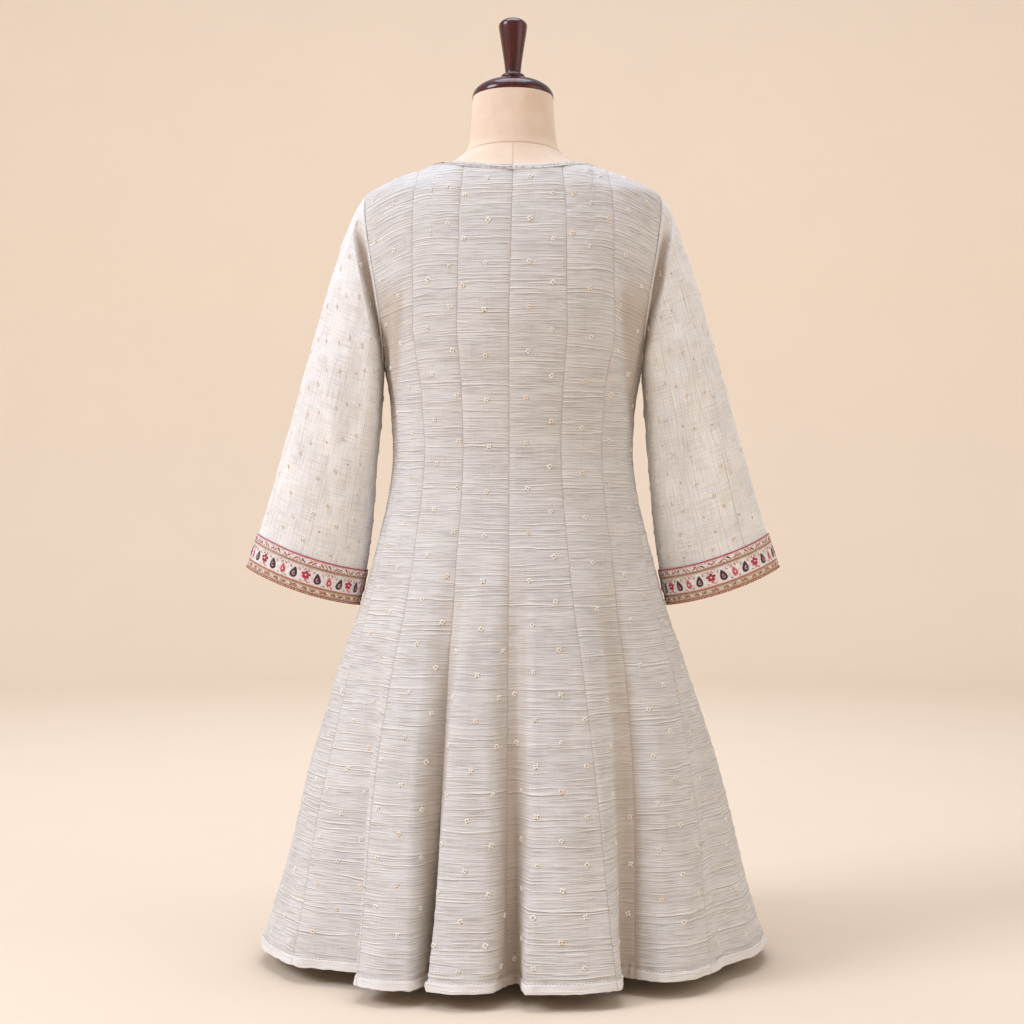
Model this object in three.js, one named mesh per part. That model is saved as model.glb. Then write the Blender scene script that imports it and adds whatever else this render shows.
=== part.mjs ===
// A panelled A-line kurta with three-quarter sleeves, worn by a limbless dress form on a low round stand.
// Millimetres, +Z up. The origin is on the floor, under the middle of the part's box.
// -Y is the back of the kurta, which has the centre-back seam, +Y is its front, and +X is its right as seen from -Y.
// The kurta is cut in long tapering panels, narrow at the shoulders and wide at the hem, and its skirt stands in
// rolled folds. Heights are above the floor. Angles go round the body: 0 at the centre back, 90 at +X, 180 at the front.
import * as THREE from "three";

// Driving sizes of the kurta
const HEM_Z = 20;
const WAIST_Z = 640; // the panels start to widen here
const FOLDS_TOP_Z = 520; // the skirt's folds start here and deepen to the hem
const CHEST_Z = 752; // the last ring that goes all the way round, just under the armholes
const CLOTH = 1.6; // wall thickness
const SEAM_GAP = 0.36;
const ROUNDNESS = 2.1; // exponent of each section: 2 is an ellipse
const NECKLINE = { halfWidth: 100, backZ: 1008, frontZ: 925, pointZ: 1019, roundness: 2.2 };
const SHOULDER_TIP = { x: 190, z: 982 };
const ARMHOLE = { middleZ: 870, halfHeight: 112, halfAngle: 22 };

// Driving sizes of the sleeves
const CUFF = { outerX: 344, outerZ: 500, innerX: 202, innerZ: 452, halfDepth: 40, sag: 6 };
const BORDER_WIDTH = 47;
const TRIM = 1.2; // thickness of the embroidered border and of the neck binding
const BINDING_WIDTH = 8;
const BINDING_EASE = 0.5; // room for the panels' flat facets under it

// Driving sizes of the dress form and its stand
const NECK_TOP_Z = 1109;
const CAP = { radius: 53, height: 25, lip: 2.5 };
const HANDLE = { collarRadius: 16, collarHeight: 8, footRadius: 10, topRadius: 19, height: 82 };
const NECK_TILT = THREE.MathUtils.degToRad(5); // the neck leans towards the front
const POLE_RADIUS = 12.5;
const BASE_RADIUS = 158;
const BASE_HEIGHT = 14;
const TOUCH_GAP = 0.3;

// How finely the surfaces are cut
const PANEL_COLUMNS = 8;
const SKIRT_ROWS_Z = [HEM_Z, 130, 250, 360, 450, 520, 580, WAIST_Z, 700, CHEST_Z];
const ARMPIT_ROWS = 2;
const YOKE_ROWS = 8;
const SLEEVE_COLUMNS = 20;
const SLEEVE_ROWS = [0, 0.04, 0.09, 0.15, 0.22, 0.31, 0.42, 0.55, 0.7, 0.85, 1];
const FORM_COLUMNS = 32;

// The kurta's outline: half its width, and how far its back and front stand from the middle, at each height
const BODY_SECTIONS = [
  { z: 20, halfWidth: 324, back: 272, front: 272 },
  { z: 98, halfWidth: 301, back: 252, front: 253 },
  { z: 238, halfWidth: 265, back: 215, front: 218 },
  { z: 376, halfWidth: 223, back: 177, front: 183 },
  { z: 443, halfWidth: 199, back: 158, front: 166 },
  { z: 497, halfWidth: 184, back: 143, front: 153 },
  { z: 545, halfWidth: 172, back: 130, front: 143 },
  { z: 588, halfWidth: 162, back: 119, front: 135 },
  { z: 646, halfWidth: 155, back: 111, front: 131 },
  { z: 718, halfWidth: 160, back: 112, front: 146 },
  { z: 752, halfWidth: 166, back: 113, front: 150 },
  { z: 800, halfWidth: 176, back: 114, front: 146 },
  { z: 850, halfWidth: 187, back: 113, front: 136 },
  { z: 900, halfWidth: 195, back: 107, front: 122 },
  { z: 940, halfWidth: 197, back: 100, front: 110 },
  { z: 970, halfWidth: 194, back: 93, front: 102 },
  { z: 982, halfWidth: 190, back: 90, front: 98 },
  { z: 993, halfWidth: 169, back: 86, front: 93 },
  { z: 1004, halfWidth: 145, back: 81, front: 88 },
  { z: 1012, halfWidth: 122, back: 76, front: 84 },
  { z: 1019, halfWidth: 100, back: 71, front: 80 },
];

// The seams between panels: their angle on the body and at the hem, and how far from the middle they reach the
// neckline or the shoulder seam. The side seams stop at the armhole.
const SEAMS = [
  { name: "centre_back", body: -1.5, hem: -1.2, reach: 0 },
  { name: "back_right_1", body: 21.5, hem: 20.2, reach: 62 },
  { name: "back_right_2", body: 45, hem: 28.7, reach: 120 },
  { name: "back_right_3", body: 73, hem: 46.8, reach: 190 },
  { name: "side_right", body: 90, hem: 90, reach: null },
  { name: "front_right_3", body: 107, hem: 121, reach: 190 },
  { name: "front_right_2", body: 135, hem: 143, reach: 120 },
  { name: "front_right_1", body: 158, hem: 162, reach: 62 },
  { name: "centre_front", body: 180, hem: 180, reach: 0 },
  { name: "front_left_1", body: 202, hem: 199, reach: 62 },
  { name: "front_left_2", body: 225, hem: 216, reach: 120 },
  { name: "front_left_3", body: 253, hem: 240, reach: 190 },
  { name: "side_left", body: 270, hem: 270, reach: null },
  { name: "back_left_3", body: 287, hem: 302, reach: 190 },
  { name: "back_left_2", body: 315, hem: 328.1, reach: 120 },
  { name: "back_left_1", body: 337.5, hem: 342, reach: 62 },
];
const PANEL_NAMES = [
  "back_centre_right", "back_mid_right", "back_outer_right", "back_side_right",
  "front_side_right", "front_outer_right", "front_mid_right", "front_centre_right",
  "front_centre_left", "front_mid_left", "front_outer_left", "front_side_left",
  "back_side_left", "back_outer_left", "back_mid_left", "back_centre_left",
];
// How far across a mid panel, from its inner seam, the neckline meets the shoulder seam
const NECK_CORNER_SHARE = { back: 0.5, front: 0.75 };

// The skirt's folds at the hem: the angles between which each stands out, by how much, and where the valley after it
// is and how deep. They fade out upwards to FOLDS_TOP_Z.
const FOLDS = [
  { from: 2.4, to: 20.2, rise: 7, valley: 26, depth: 46 },
  { from: 34, to: 44, rise: -3, valley: 56, depth: 16 },
  { from: 70, to: 104, rise: -4, valley: 113, depth: 34 },
  { from: 121, to: 136, rise: 4, valley: 139.5, depth: 40 },
  { from: 143, to: 158, rise: 6, valley: 160.5, depth: 42 },
  { from: 163, to: 177, rise: 4, valley: 180, depth: 38 },
  { from: 183, to: 199, rise: 4, valley: 203, depth: 44 },
  { from: 209, to: 222, rise: 5, valley: 226, depth: 40 },
  { from: 231, to: 243, rise: 2, valley: 250, depth: 28 },
  { from: 262, to: 300, rise: -7, valley: 322.5, depth: 40 },
  { from: 328.1, to: 340.1, rise: 10, valley: 342, depth: 44 },
  { from: 343.8, to: 354.6, rise: 6, valley: 361, depth: 45 },
];
const FOLD_CROWN = 5; // how far the middle of a fold stands out past its edges

// Where each sleeve starts to run from the armhole, round the armhole from its top
const SLEEVE_STARTS = [
  { around: 0, x: 0.84, y: 0, z: -0.54, pull: 118 },
  { around: 45, x: 0.74, y: -0.2, z: -0.64, pull: 140 },
  { around: 90, x: 0.5, y: -0.5, z: -0.7, pull: 130 },
  { around: 135, x: 0.12, y: -0.8, z: -0.58, pull: 130 },
  { around: 180, x: 0.12, y: 0, z: -1, pull: 290 },
];
const SLEEVE_ENDS = [
  { around: 0, pull: 480 },
  { around: 90, pull: 330 },
  { around: 180, pull: 250 },
];
// The sleeve's cloth dips between the armhole and the edge of its roll, a line from up to down in x and z
const SLEEVE_DIP = { topX: 207, topZ: 928, footX: 166, footZ: 735, depth: 17, edge: 9, fadeZ: 50 };

// The dress form's outline, and its neck's
const FORM_SECTIONS = [
  { z: 330, halfWidth: 146, back: 98, front: 98 },
  { z: 340, halfWidth: 156, back: 107, front: 106 },
  { z: 425, halfWidth: 165, back: 114, front: 114 },
  { z: 485, halfWidth: 158, back: 108, front: 114 },
  { z: 560, halfWidth: 137, back: 95, front: 106 },
  { z: 625, halfWidth: 121, back: 86, front: 102 },
  { z: 690, halfWidth: 138, back: 93, front: 124 },
  { z: 745, halfWidth: 151, back: 98, front: 138 },
  { z: 800, halfWidth: 160, back: 102, front: 134 },
  { z: 860, halfWidth: 170, back: 103, front: 122 },
  { z: 915, halfWidth: 180, back: 99, front: 111 },
  { z: 950, halfWidth: 184, back: 94, front: 103 },
  { z: 967, halfWidth: 184, back: 90.5, front: 99 },
  { z: 979.4, halfWidth: 181, back: 86, front: 93 },
  { z: 990.4, halfWidth: 167.5, back: 81, front: 87 },
  { z: 1001.4, halfWidth: 144, back: 75.5, front: 82 },
  { z: 1009.4, halfWidth: 121, back: 70.5, front: 77.5 },
  { z: 1016.4, halfWidth: 99, back: 65.5, front: 73.5 },
  { z: 1026, halfWidth: 78, back: 60, front: 71 },
  { z: 1040, halfWidth: 61, back: 53, front: 64 },
  { z: 1058, halfWidth: 56, back: 50, front: 60 },
  { z: NECK_TOP_Z, halfWidth: 52, back: 48, front: 56 },
];
const NECK_TILT_FROM_Z = 1030;
const CAP_SHIFT_Y = 4; // the neck is deeper in front

const deg = THREE.MathUtils.degToRad;
const lerp = THREE.MathUtils.lerp;
const clamp = THREE.MathUtils.clamp;
const smooth = (t) => THREE.MathUtils.smoothstep(t, 0, 1);

// A table's named column at a height, on a smooth curve through its rows
function atHeight(table, column, z) {
  const last = table.length - 1;
  let i = 0;
  while (i < last - 1 && z > table[i + 1].z) i += 1;
  const slope = (k) => {
    const a = table[Math.max(k - 1, 0)];
    const b = table[Math.min(k + 1, last)];
    return (b[column] - a[column]) / (b.z - a.z);
  };
  const low = table[i];
  const high = table[i + 1];
  const span = high.z - low.z;
  const t = clamp((z - low.z) / span, 0, 1);
  const t2 = t * t;
  const t3 = t2 * t;
  return (
    (2 * t3 - 3 * t2 + 1) * low[column] +
    (t3 - 2 * t2 + t) * span * slope(i) +
    (3 * t2 - 2 * t3) * high[column] +
    (t3 - t2) * span * slope(i + 1)
  );
}

const power = (v, exponent) => Math.sign(v) * Math.pow(Math.abs(v), exponent);

// The point of a table's section at a height and angle, with the outline moved out by grow
function sectionPoint(table, angle, z, grow = 0) {
  const a = deg(angle);
  const depth = Math.cos(a) >= 0 ? "back" : "front";
  return new THREE.Vector3(
    (atHeight(table, "halfWidth", z) + grow) * power(Math.sin(a), 2 / ROUNDNESS),
    -(atHeight(table, depth, z) + grow) * power(Math.cos(a), 2 / ROUNDNESS),
    z,
  );
}

// The point of the kurta's section at a height and a distance from the middle; side is -1 on the back, 1 on the front
function sectionPointAtX(x, z, side) {
  const share = Math.min(Math.abs(x) / atHeight(BODY_SECTIONS, "halfWidth", z), 1);
  const depth = atHeight(BODY_SECTIONS, side < 0 ? "back" : "front", z);
  return new THREE.Vector3(x, side * depth * Math.pow(1 - Math.pow(share, ROUNDNESS), 1 / ROUNDNESS), z);
}

// How far the hem stands out of its plain outline at an angle
function foldAt(angle) {
  const stops = [];
  for (const turn of [-360, 0, 360]) {
    for (const f of FOLDS) {
      stops.push({ at: f.from + turn, out: f.rise });
      stops.push({ at: (f.from + f.to) / 2 + turn, out: f.rise + FOLD_CROWN });
      stops.push({ at: f.to + turn, out: f.rise });
      stops.push({ at: f.valley + turn, out: -f.depth });
    }
  }
  let i = 0;
  while (stops[i + 1].at < angle) i += 1;
  const t = (angle - stops[i].at) / (stops[i + 1].at - stops[i].at);
  return lerp(stops[i].out, stops[i + 1].out, smooth(t));
}

const hemPoint = (angle) => sectionPoint(BODY_SECTIONS, angle, HEM_Z, foldAt(angle));

// The armhole: its angle from the side seam at a height, and its height at an angle from the side seam
const armholeAngle = (z) =>
  ARMHOLE.halfAngle * Math.sqrt(Math.max(0, 1 - ((z - ARMHOLE.middleZ) / ARMHOLE.halfHeight) ** 2));
const armholeFootZ = (fromSide) =>
  ARMHOLE.middleZ - ARMHOLE.halfHeight * Math.sqrt(Math.max(0, 1 - (fromSide / ARMHOLE.halfAngle) ** 2));

function armholePoint(z, side) {
  const angle = 90 + side * armholeAngle(z);
  return sectionPoint(BODY_SECTIONS, angle, z);
}

// The distance of the armhole's edge from the middle, kept at the shoulder tip's above it
const armholeX = (z) => (z >= SHOULDER_TIP.z ? SHOULDER_TIP.x : armholePoint(z, -1).x);

const OUTER_SEAM = SEAMS.find((s) => s.name === "back_right_3");
const YOKE_Z = armholeFootZ(90 - OUTER_SEAM.body); // where the outer seams meet the armholes

// The height at which the kurta's outline passes over a place on the shoulders or the chest
function surfaceZ(x, y) {
  let low = NECKLINE.frontZ - 10;
  let high = NECKLINE.pointZ;
  for (let i = 0; i < 24; i += 1) {
    const middle = (low + high) / 2;
    if (outlineValue({ x, y, z: middle }) < 1) low = middle;
    else high = middle;
  }
  return (low + high) / 2;
}

const shoulderPoint = (x) => new THREE.Vector3(x, 0, surfaceZ(x, 0));

// A point of the neckline: turn is 0 at the centre back, 90 and 270 at the neck points and 180 at the centre front
function necklinePoint(turn) {
  const a = deg(turn);
  const back = Math.cos(a) > 0;
  const depth = atHeight(BODY_SECTIONS, back ? "back" : "front", back ? NECKLINE.backZ : NECKLINE.frontZ);
  const x = NECKLINE.halfWidth * power(Math.sin(a), 2 / NECKLINE.roundness);
  const y = -depth * power(Math.cos(a), 2 / NECKLINE.roundness);
  return new THREE.Vector3(x, y, surfaceZ(x, y));
}

// The turn at which the neckline is a distance from the middle, on the back or the front
function necklineTurn(x, back) {
  const turn = THREE.MathUtils.radToDeg(Math.asin(power(x / NECKLINE.halfWidth, NECKLINE.roundness / 2)));
  return back ? turn : 180 - turn;
}

// The value between two of a curve's values at a share of the curve's length between them
function evenly(curve, from, to, share) {
  const steps = 160;
  const lengths = [0];
  let before = curve(from);
  for (let i = 1; i <= steps; i += 1) {
    const point = curve(lerp(from, to, i / steps));
    lengths.push(lengths[i - 1] + point.distanceTo(before));
    before = point;
  }
  const target = share * lengths[steps];
  let k = 0;
  while (k < steps - 1 && lengths[k + 1] < target) k += 1;
  const t = clamp((target - lengths[k]) / (lengths[k + 1] - lengths[k]), 0, 1);
  return lerp(from, to, (k + t) / steps);
}

// The columns of a panel: their angles on the body and at the hem, their fold there, and where they end at the top.
// At the hem they are evenly spaced along the cloth, folds included.
function panelColumns(index) {
  const from = SEAMS[index];
  const to = SEAMS[(index + 1) % SEAMS.length];
  const wrap = index + 1 === SEAMS.length ? 360 : 0;
  return Array.from({ length: PANEL_COLUMNS + 1 }, (_, c) => {
    const share = c / PANEL_COLUMNS;
    const hem = evenly(hemPoint, from.hem, to.hem + wrap, share);
    const body = lerp(from.body, to.body + wrap, share);
    return { body, hem, fold: foldAt(hem), top: columnTop(from, to, body, share) };
  });
}

// Where a column ends on the neckline or the shoulder seam; null on the panels under the arm
function columnTop(from, to, body, share) {
  if (from.reach === null || to.reach === null) return null;
  const back = Math.cos(deg(body)) > 0;
  const sign = Math.sign(180 - body) || 1;
  const inner = Math.min(from.reach, to.reach);
  const outer = Math.max(from.reach, to.reach);
  const outwardShare = to.reach > from.reach ? share : 1 - share;
  if (inner > NECKLINE.halfWidth) return shoulderPoint(sign * lerp(inner, outer, outwardShare));
  const corner = outer > NECKLINE.halfWidth ? NECK_CORNER_SHARE[back ? "back" : "front"] : 1;
  if (outwardShare > corner) {
    return shoulderPoint(sign * lerp(NECKLINE.halfWidth, outer, (outwardShare - corner) / (1 - corner)));
  }
  const start = necklineTurn(sign * inner, back);
  const end = necklineTurn(sign * Math.min(outer, NECKLINE.halfWidth), back);
  return necklinePoint(evenly(necklinePoint, start, end, outwardShare / corner));
}

// A column's point at a height up to YOKE_Z
function lowerPoint(column, z) {
  const wide = Math.pow(clamp((WAIST_Z - z) / (WAIST_Z - HEM_Z), 0, 1), 1.15);
  const deep = Math.pow(clamp((FOLDS_TOP_Z - z) / (FOLDS_TOP_Z - HEM_Z), 0, 1), 1.15);
  return sectionPoint(BODY_SECTIONS, lerp(column.body, column.hem, wide), z, column.fold * deep);
}

// A column's points from YOKE_Z to the neckline or the shoulder seam, closer together towards the top
function yokePoints(column, rows) {
  const side = Math.cos(deg(column.body)) > 0 ? -1 : 1;
  const footShare = lowerPoint(column, YOKE_Z).x / armholeX(YOKE_Z);
  const topShare = column.top.x / armholeX(column.top.z);
  const steps = 160;
  const fine = [];
  const lengths = [0];
  for (let i = 0; i <= steps; i += 1) {
    const up = 1 - (1 - i / steps) ** 2; // closer together at the top, where the cloth turns over the shoulder
    const z = lerp(YOKE_Z, column.top.z, up);
    const point = sectionPointAtX(armholeX(z) * lerp(footShare, topShare, up), z, side);
    if (i === steps && Math.abs(column.top.y) < SEAM_GAP) point.y = (side * SEAM_GAP) / 2;
    fine.push(point);
    if (i) lengths.push(lengths[i - 1] + point.distanceTo(fine[i - 1]));
  }
  const points = [];
  let k = 0;
  for (let r = 1; r <= rows; r += 1) {
    const target = lengths[steps] * (1 - (1 - r / rows) ** 1.35);
    while (k < steps - 1 && lengths[k + 1] < target) k += 1;
    const t = clamp((target - lengths[k]) / (lengths[k + 1] - lengths[k]), 0, 1);
    points.push(fine[k].clone().lerp(fine[k + 1], t));
  }
  return points;
}

// A panel's outer points, from the hem up, row by row
function panelGrid(index) {
  const lines = panelColumns(index).map((column) => {
    const line = SKIRT_ROWS_Z.map((z) => lowerPoint(column, z));
    const fromSide = Math.abs(Math.abs(column.body - 180) - 90);
    const armpitZ = Math.min(armholeFootZ(Math.min(fromSide, ARMHOLE.halfAngle)), YOKE_Z);
    const topZ = column.top === null ? armpitZ : YOKE_Z;
    for (let r = 1; r <= ARMPIT_ROWS; r += 1) {
      line.push(lowerPoint(column, lerp(CHEST_Z, topZ, r / ARMPIT_ROWS)));
    }
    if (column.top !== null) line.push(...yokePoints(column, YOKE_ROWS));
    return line;
  });
  return lines[0].map((_, row) => lines.map((line) => line[row]));
}

// 1 on the kurta's plain outline, less inside it and more outside it
function outlineValue(p) {
  const depth = atHeight(BODY_SECTIONS, p.y < 0 ? "back" : "front", p.z);
  const width = atHeight(BODY_SECTIONS, "halfWidth", p.z);
  return Math.pow(Math.abs(p.x) / width, ROUNDNESS) + Math.pow(Math.abs(p.y) / depth, ROUNDNESS);
}

// How that value grows for each millimetre along x, y and z
function outlineSlope(point) {
  const step = 0.5;
  const slope = ["x", "y", "z"].map((axis) => {
    const ahead = point.clone();
    const behind = point.clone();
    ahead[axis] += step;
    behind[axis] -= step;
    return (outlineValue(ahead) - outlineValue(behind)) / (2 * step);
  });
  return new THREE.Vector3(...slope);
}

const outwards = (point) => outlineSlope(point).normalize();

// The nearest point of the outline to a point close to it
function ontoOutline(point) {
  const moved = point.clone();
  for (let i = 0; i < 4; i += 1) {
    const slope = outlineSlope(moved);
    moved.addScaledVector(slope, (1 - outlineValue(moved)) / slope.lengthSq());
  }
  return moved;
}

// Each point's direction out of a grid of points; ends meet when the grid is closed round
function gridNormals(grid, closed) {
  const rows = grid.length;
  const columns = grid[0].length;
  const across = (row, c) => {
    const next = closed ? (c + 1) % columns : Math.min(c + 1, columns - 1);
    const before = closed ? (c + columns - 1) % columns : Math.max(c - 1, 0);
    return row[next].clone().sub(row[before]);
  };
  return grid.map((row, r) =>
    row.map((_, c) => {
      const up = grid[Math.min(r + 1, rows - 1)][c].clone().sub(grid[Math.max(r - 1, 0)][c]);
      return across(row, c).cross(up).normalize();
    }),
  );
}

// A closed wall between two grids of points, outer and inner. Rows go up and columns go anticlockwise from above.
// Each quad is cut from its lower left to its upper right, or the other way when turned.
function wall(outer, inner, closed, turned = false) {
  const rows = outer.length;
  const columns = outer[0].length;
  const positions = [];
  for (const grid of [outer, inner]) for (const row of grid) for (const p of row) positions.push(p.x, p.y, p.z);
  const at = (layer, r, c) => (layer * rows + r) * columns + (closed ? c % columns : c);
  const faces = [];
  const quad = (a, b, c, d) => (turned ? faces.push(b, c, d, b, d, a) : faces.push(a, b, c, a, c, d));
  const spans = closed ? columns : columns - 1;
  for (let r = 0; r < rows - 1; r += 1) {
    for (let c = 0; c < spans; c += 1) {
      quad(at(0, r, c), at(0, r, c + 1), at(0, r + 1, c + 1), at(0, r + 1, c));
      quad(at(1, r, c), at(1, r + 1, c), at(1, r + 1, c + 1), at(1, r, c + 1));
    }
  }
  for (let c = 0; c < spans; c += 1) {
    quad(at(0, 0, c), at(1, 0, c), at(1, 0, c + 1), at(0, 0, c + 1));
    quad(at(0, rows - 1, c), at(0, rows - 1, c + 1), at(1, rows - 1, c + 1), at(1, rows - 1, c));
  }
  if (!closed) {
    for (let r = 0; r < rows - 1; r += 1) {
      quad(at(0, r, 0), at(0, r + 1, 0), at(1, r + 1, 0), at(1, r, 0));
      const c = columns - 1;
      quad(at(0, r, c), at(1, r, c), at(1, r + 1, c), at(0, r + 1, c));
    }
  }
  const geometry = new THREE.BufferGeometry();
  geometry.setAttribute("position", new THREE.Float32BufferAttribute(positions, 3));
  geometry.setIndex(faces);
  geometry.computeVertexNormals();
  return geometry;
}

const moved = (grid, normals, distance) =>
  grid.map((row, r) => row.map((p, c) => p.clone().addScaledVector(normals[r][c], distance)));

function mesh(name, geometry, material) {
  const made = new THREE.Mesh(geometry, material);
  made.name = name;
  return made;
}

// The panels. A seam's two edges share one direction into the cloth, and each stands back half the seam gap.
function addPanels(group, material) {
  const grids = SEAMS.map((_, index) => panelGrid(index));
  const normals = grids.map((grid) => gridNormals(grid, false));
  grids.forEach((grid, index) => {
    const nextIndex = (index + 1) % grids.length;
    const next = normals[nextIndex];
    const shared = Math.min(grid.length, next.length);
    for (let r = 0; r < shared; r += 1) {
      const common = normals[index][r][PANEL_COLUMNS].clone().add(next[r][0]).normalize();
      normals[index][r][PANEL_COLUMNS] = common;
      next[r][0] = common.clone();
    }
  });
  // At the shoulder seam the back's cloth and the front's meet on one upward direction
  grids.forEach((grid, index) => {
    const top = grid.length - 1;
    grid[top].forEach((point, c) => {
      if (Math.abs(point.y) < SEAM_GAP) normals[index][top][c] = outwards(point.clone().setY(0));
    });
  });
  grids.forEach((grid, index) => {
    const edged = grid.map((row, r) =>
      row.map((point, c) => {
        const neighbour = c === 0 ? row[1] : row[PANEL_COLUMNS - 1];
        if (c > 0 && c < PANEL_COLUMNS) return point;
        const inwards = neighbour.clone().sub(point);
        const normal = normals[index][r][c];
        inwards.addScaledVector(normal, -inwards.dot(normal)).normalize();
        return point.clone().addScaledVector(inwards, SEAM_GAP / 2);
      }),
    );
    const inner = moved(edged, normals[index], -CLOTH);
    const towardsSleeve = SEAMS[index].reach !== null && Math.floor(index / 4) % 2 === 0;
    group.add(mesh(PANEL_NAMES[index], wall(edged, inner, false, towardsSleeve), material));
  });
}

// A named column of a sleeve table at an angle round the armhole, the same on the back and the front
function around(table, column, angle) {
  const a = Math.abs(angle > 180 ? 360 - angle : angle);
  let i = 0;
  while (i < table.length - 2 && table[i + 1].around < a) i += 1;
  const t = (a - table[i].around) / (table[i + 1].around - table[i].around);
  return lerp(table[i][column], table[i + 1][column], smooth(t));
}

// A point of the right sleeve: along is 0 at the armhole and 1 at the cuff, angle is 0 on top and 90 at the back
function sleevePoint(along, angle) {
  const a = deg(angle);
  const side = Math.sin(a) >= 0 ? -1 : 1;
  const start = armholePoint(ARMHOLE.middleZ + ARMHOLE.halfHeight * Math.cos(a), side);
  const middle = new THREE.Vector3((CUFF.outerX + CUFF.innerX) / 2, 0, (CUFF.outerZ + CUFF.innerZ) / 2);
  const half = new THREE.Vector3((CUFF.outerX - CUFF.innerX) / 2, 0, (CUFF.outerZ - CUFF.innerZ) / 2);
  const down = new THREE.Vector3(half.z, 0, -half.x).normalize();
  const end = middle.clone().addScaledVector(half, Math.cos(a));
  end.y = -CUFF.halfDepth * Math.sin(a);
  end.addScaledVector(down, CUFF.sag * Math.sin(a) ** 2);
  const pull = around(SLEEVE_STARTS, "pull", angle);
  const leave = new THREE.Vector3(
    around(SLEEVE_STARTS, "x", angle),
    -side * around(SLEEVE_STARTS, "y", angle),
    around(SLEEVE_STARTS, "z", angle),
  ).multiplyScalar(pull);
  const arrive = down.clone().multiplyScalar(around(SLEEVE_ENDS, "pull", angle));
  const t = along;
  const point = start
    .clone()
    .multiplyScalar(2 * t ** 3 - 3 * t ** 2 + 1)
    .addScaledVector(leave, t ** 3 - 2 * t ** 2 + t)
    .addScaledVector(end, 3 * t ** 2 - 2 * t ** 3)
    .addScaledVector(arrive, t ** 3 - t ** 2);
  point.y -= side * sleeveDip(point, along);
  return point;
}

// How far the cloth dips towards the sleeve's middle
function sleeveDip(point, along) {
  const { topX, topZ, footX, footZ, depth, edge, fadeZ } = SLEEVE_DIP;
  const down = (topZ - point.z) / (topZ - footZ);
  const edgeX = lerp(topX, footX, down);
  const inside = smooth(clamp((edgeX - point.x) / edge, 0, 1));
  const deep = smooth(clamp((topZ + fadeZ - point.z) / (2 * fadeZ), 0, 1)) * smooth(clamp((1.15 - down) * 4, 0, 1));
  return Math.min(depth, Math.abs(point.y) * 0.6) * inside * deep * smooth(clamp(along / 0.07, 0, 1));
}

// The sleeve's rows of outer points, from the cuff up, between two places along it
function sleeveGrid(rows) {
  const step = 360 / SLEEVE_COLUMNS;
  return [...rows]
    .sort((a, b) => b - a)
    .map((along) => Array.from({ length: SLEEVE_COLUMNS }, (_, c) => sleevePoint(along, 180 - c * step + 360)));
}

// A row's points moved into the armhole by the seam gap, so that the sleeve's head doesn't touch the panels
function insideArmhole(row) {
  const middle = new THREE.Vector3();
  row.forEach((p) => middle.addScaledVector(p, 1 / row.length));
  return row.map((p) => p.clone().addScaledVector(middle.clone().sub(p).normalize(), SEAM_GAP + CLOTH));
}

// The point of the sleeve at an angle that is a length of cloth above the cuff's edge
function aboveCuff(angle, length) {
  const step = 0.005;
  let point = sleevePoint(1, angle);
  let left = length;
  for (let along = 1 - step; left > 0 && along > 0; along -= step) {
    const next = sleevePoint(along, angle);
    const run = point.distanceTo(next);
    if (run >= left) return sleevePoint(along + step * (1 - left / run), angle);
    left -= run;
    point = next;
  }
  return point;
}

// The border's rows of points on the sleeve, from the cuff up, as wide all round
function borderGrid() {
  const step = 360 / SLEEVE_COLUMNS;
  return [0, BORDER_WIDTH / 2, BORDER_WIDTH].map((up) =>
    Array.from({ length: SLEEVE_COLUMNS }, (_, c) => aboveCuff(180 - c * step + 360, up)),
  );
}

const mirrored = (grid) =>
  grid.map((row) => row.map((p) => new THREE.Vector3(-p.x, p.y, p.z)).reverse());

function addSleeves(group, cloth, embroidery) {
  const sleeve = sleeveGrid(SLEEVE_ROWS);
  sleeve[sleeve.length - 1] = insideArmhole(sleeve[sleeve.length - 1]);
  const border = borderGrid();
  for (const side of ["right", "left"]) {
    const turn = side === "right" ? (grid) => grid : mirrored;
    const outer = turn(sleeve);
    const inner = moved(outer, gridNormals(outer, true), -CLOTH);
    group.add(mesh(`sleeve_${side}`, wall(outer, inner, true), cloth));
    const base = turn(border);
    const normals = gridNormals(base, true);
    const band = wall(moved(base, normals, TOUCH_GAP + 0.4 + TRIM), moved(base, normals, TOUCH_GAP + 0.4), true);
    group.add(mesh(`border_${side}`, band, embroidery));
  }
}

// The narrow binding round the neckline, on the panels' outer face
function addBinding(group, material) {
  const count = 56;
  const line = Array.from({ length: count }, (_, i) => necklinePoint(evenly(necklinePoint, 0, 360, i / count)));
  const lower = [];
  const upper = [];
  const lowerIn = [];
  const upperIn = [];
  line.forEach((point, i) => {
    const ahead = line[(i + 1) % line.length];
    const behind = line[(i + line.length - 1) % line.length];
    const along = ahead.clone().sub(behind).normalize();
    const away = along.cross(outwards(point)).normalize();
    const low = ontoOutline(point.clone().addScaledVector(away, BINDING_WIDTH));
    const highOut = outwards(point);
    const lowOut = outwards(low);
    const lift = TOUCH_GAP + BINDING_EASE;
    lowerIn.push(low.clone().addScaledVector(lowOut, lift));
    upperIn.push(point.clone().addScaledVector(highOut, lift));
    lower.push(low.addScaledVector(lowOut, lift + TRIM));
    upper.push(point.clone().addScaledVector(highOut, lift + TRIM));
  });
  group.add(mesh("neck_binding", wall([lower, upper], [lowerIn, upperIn], true), material));
}

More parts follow.
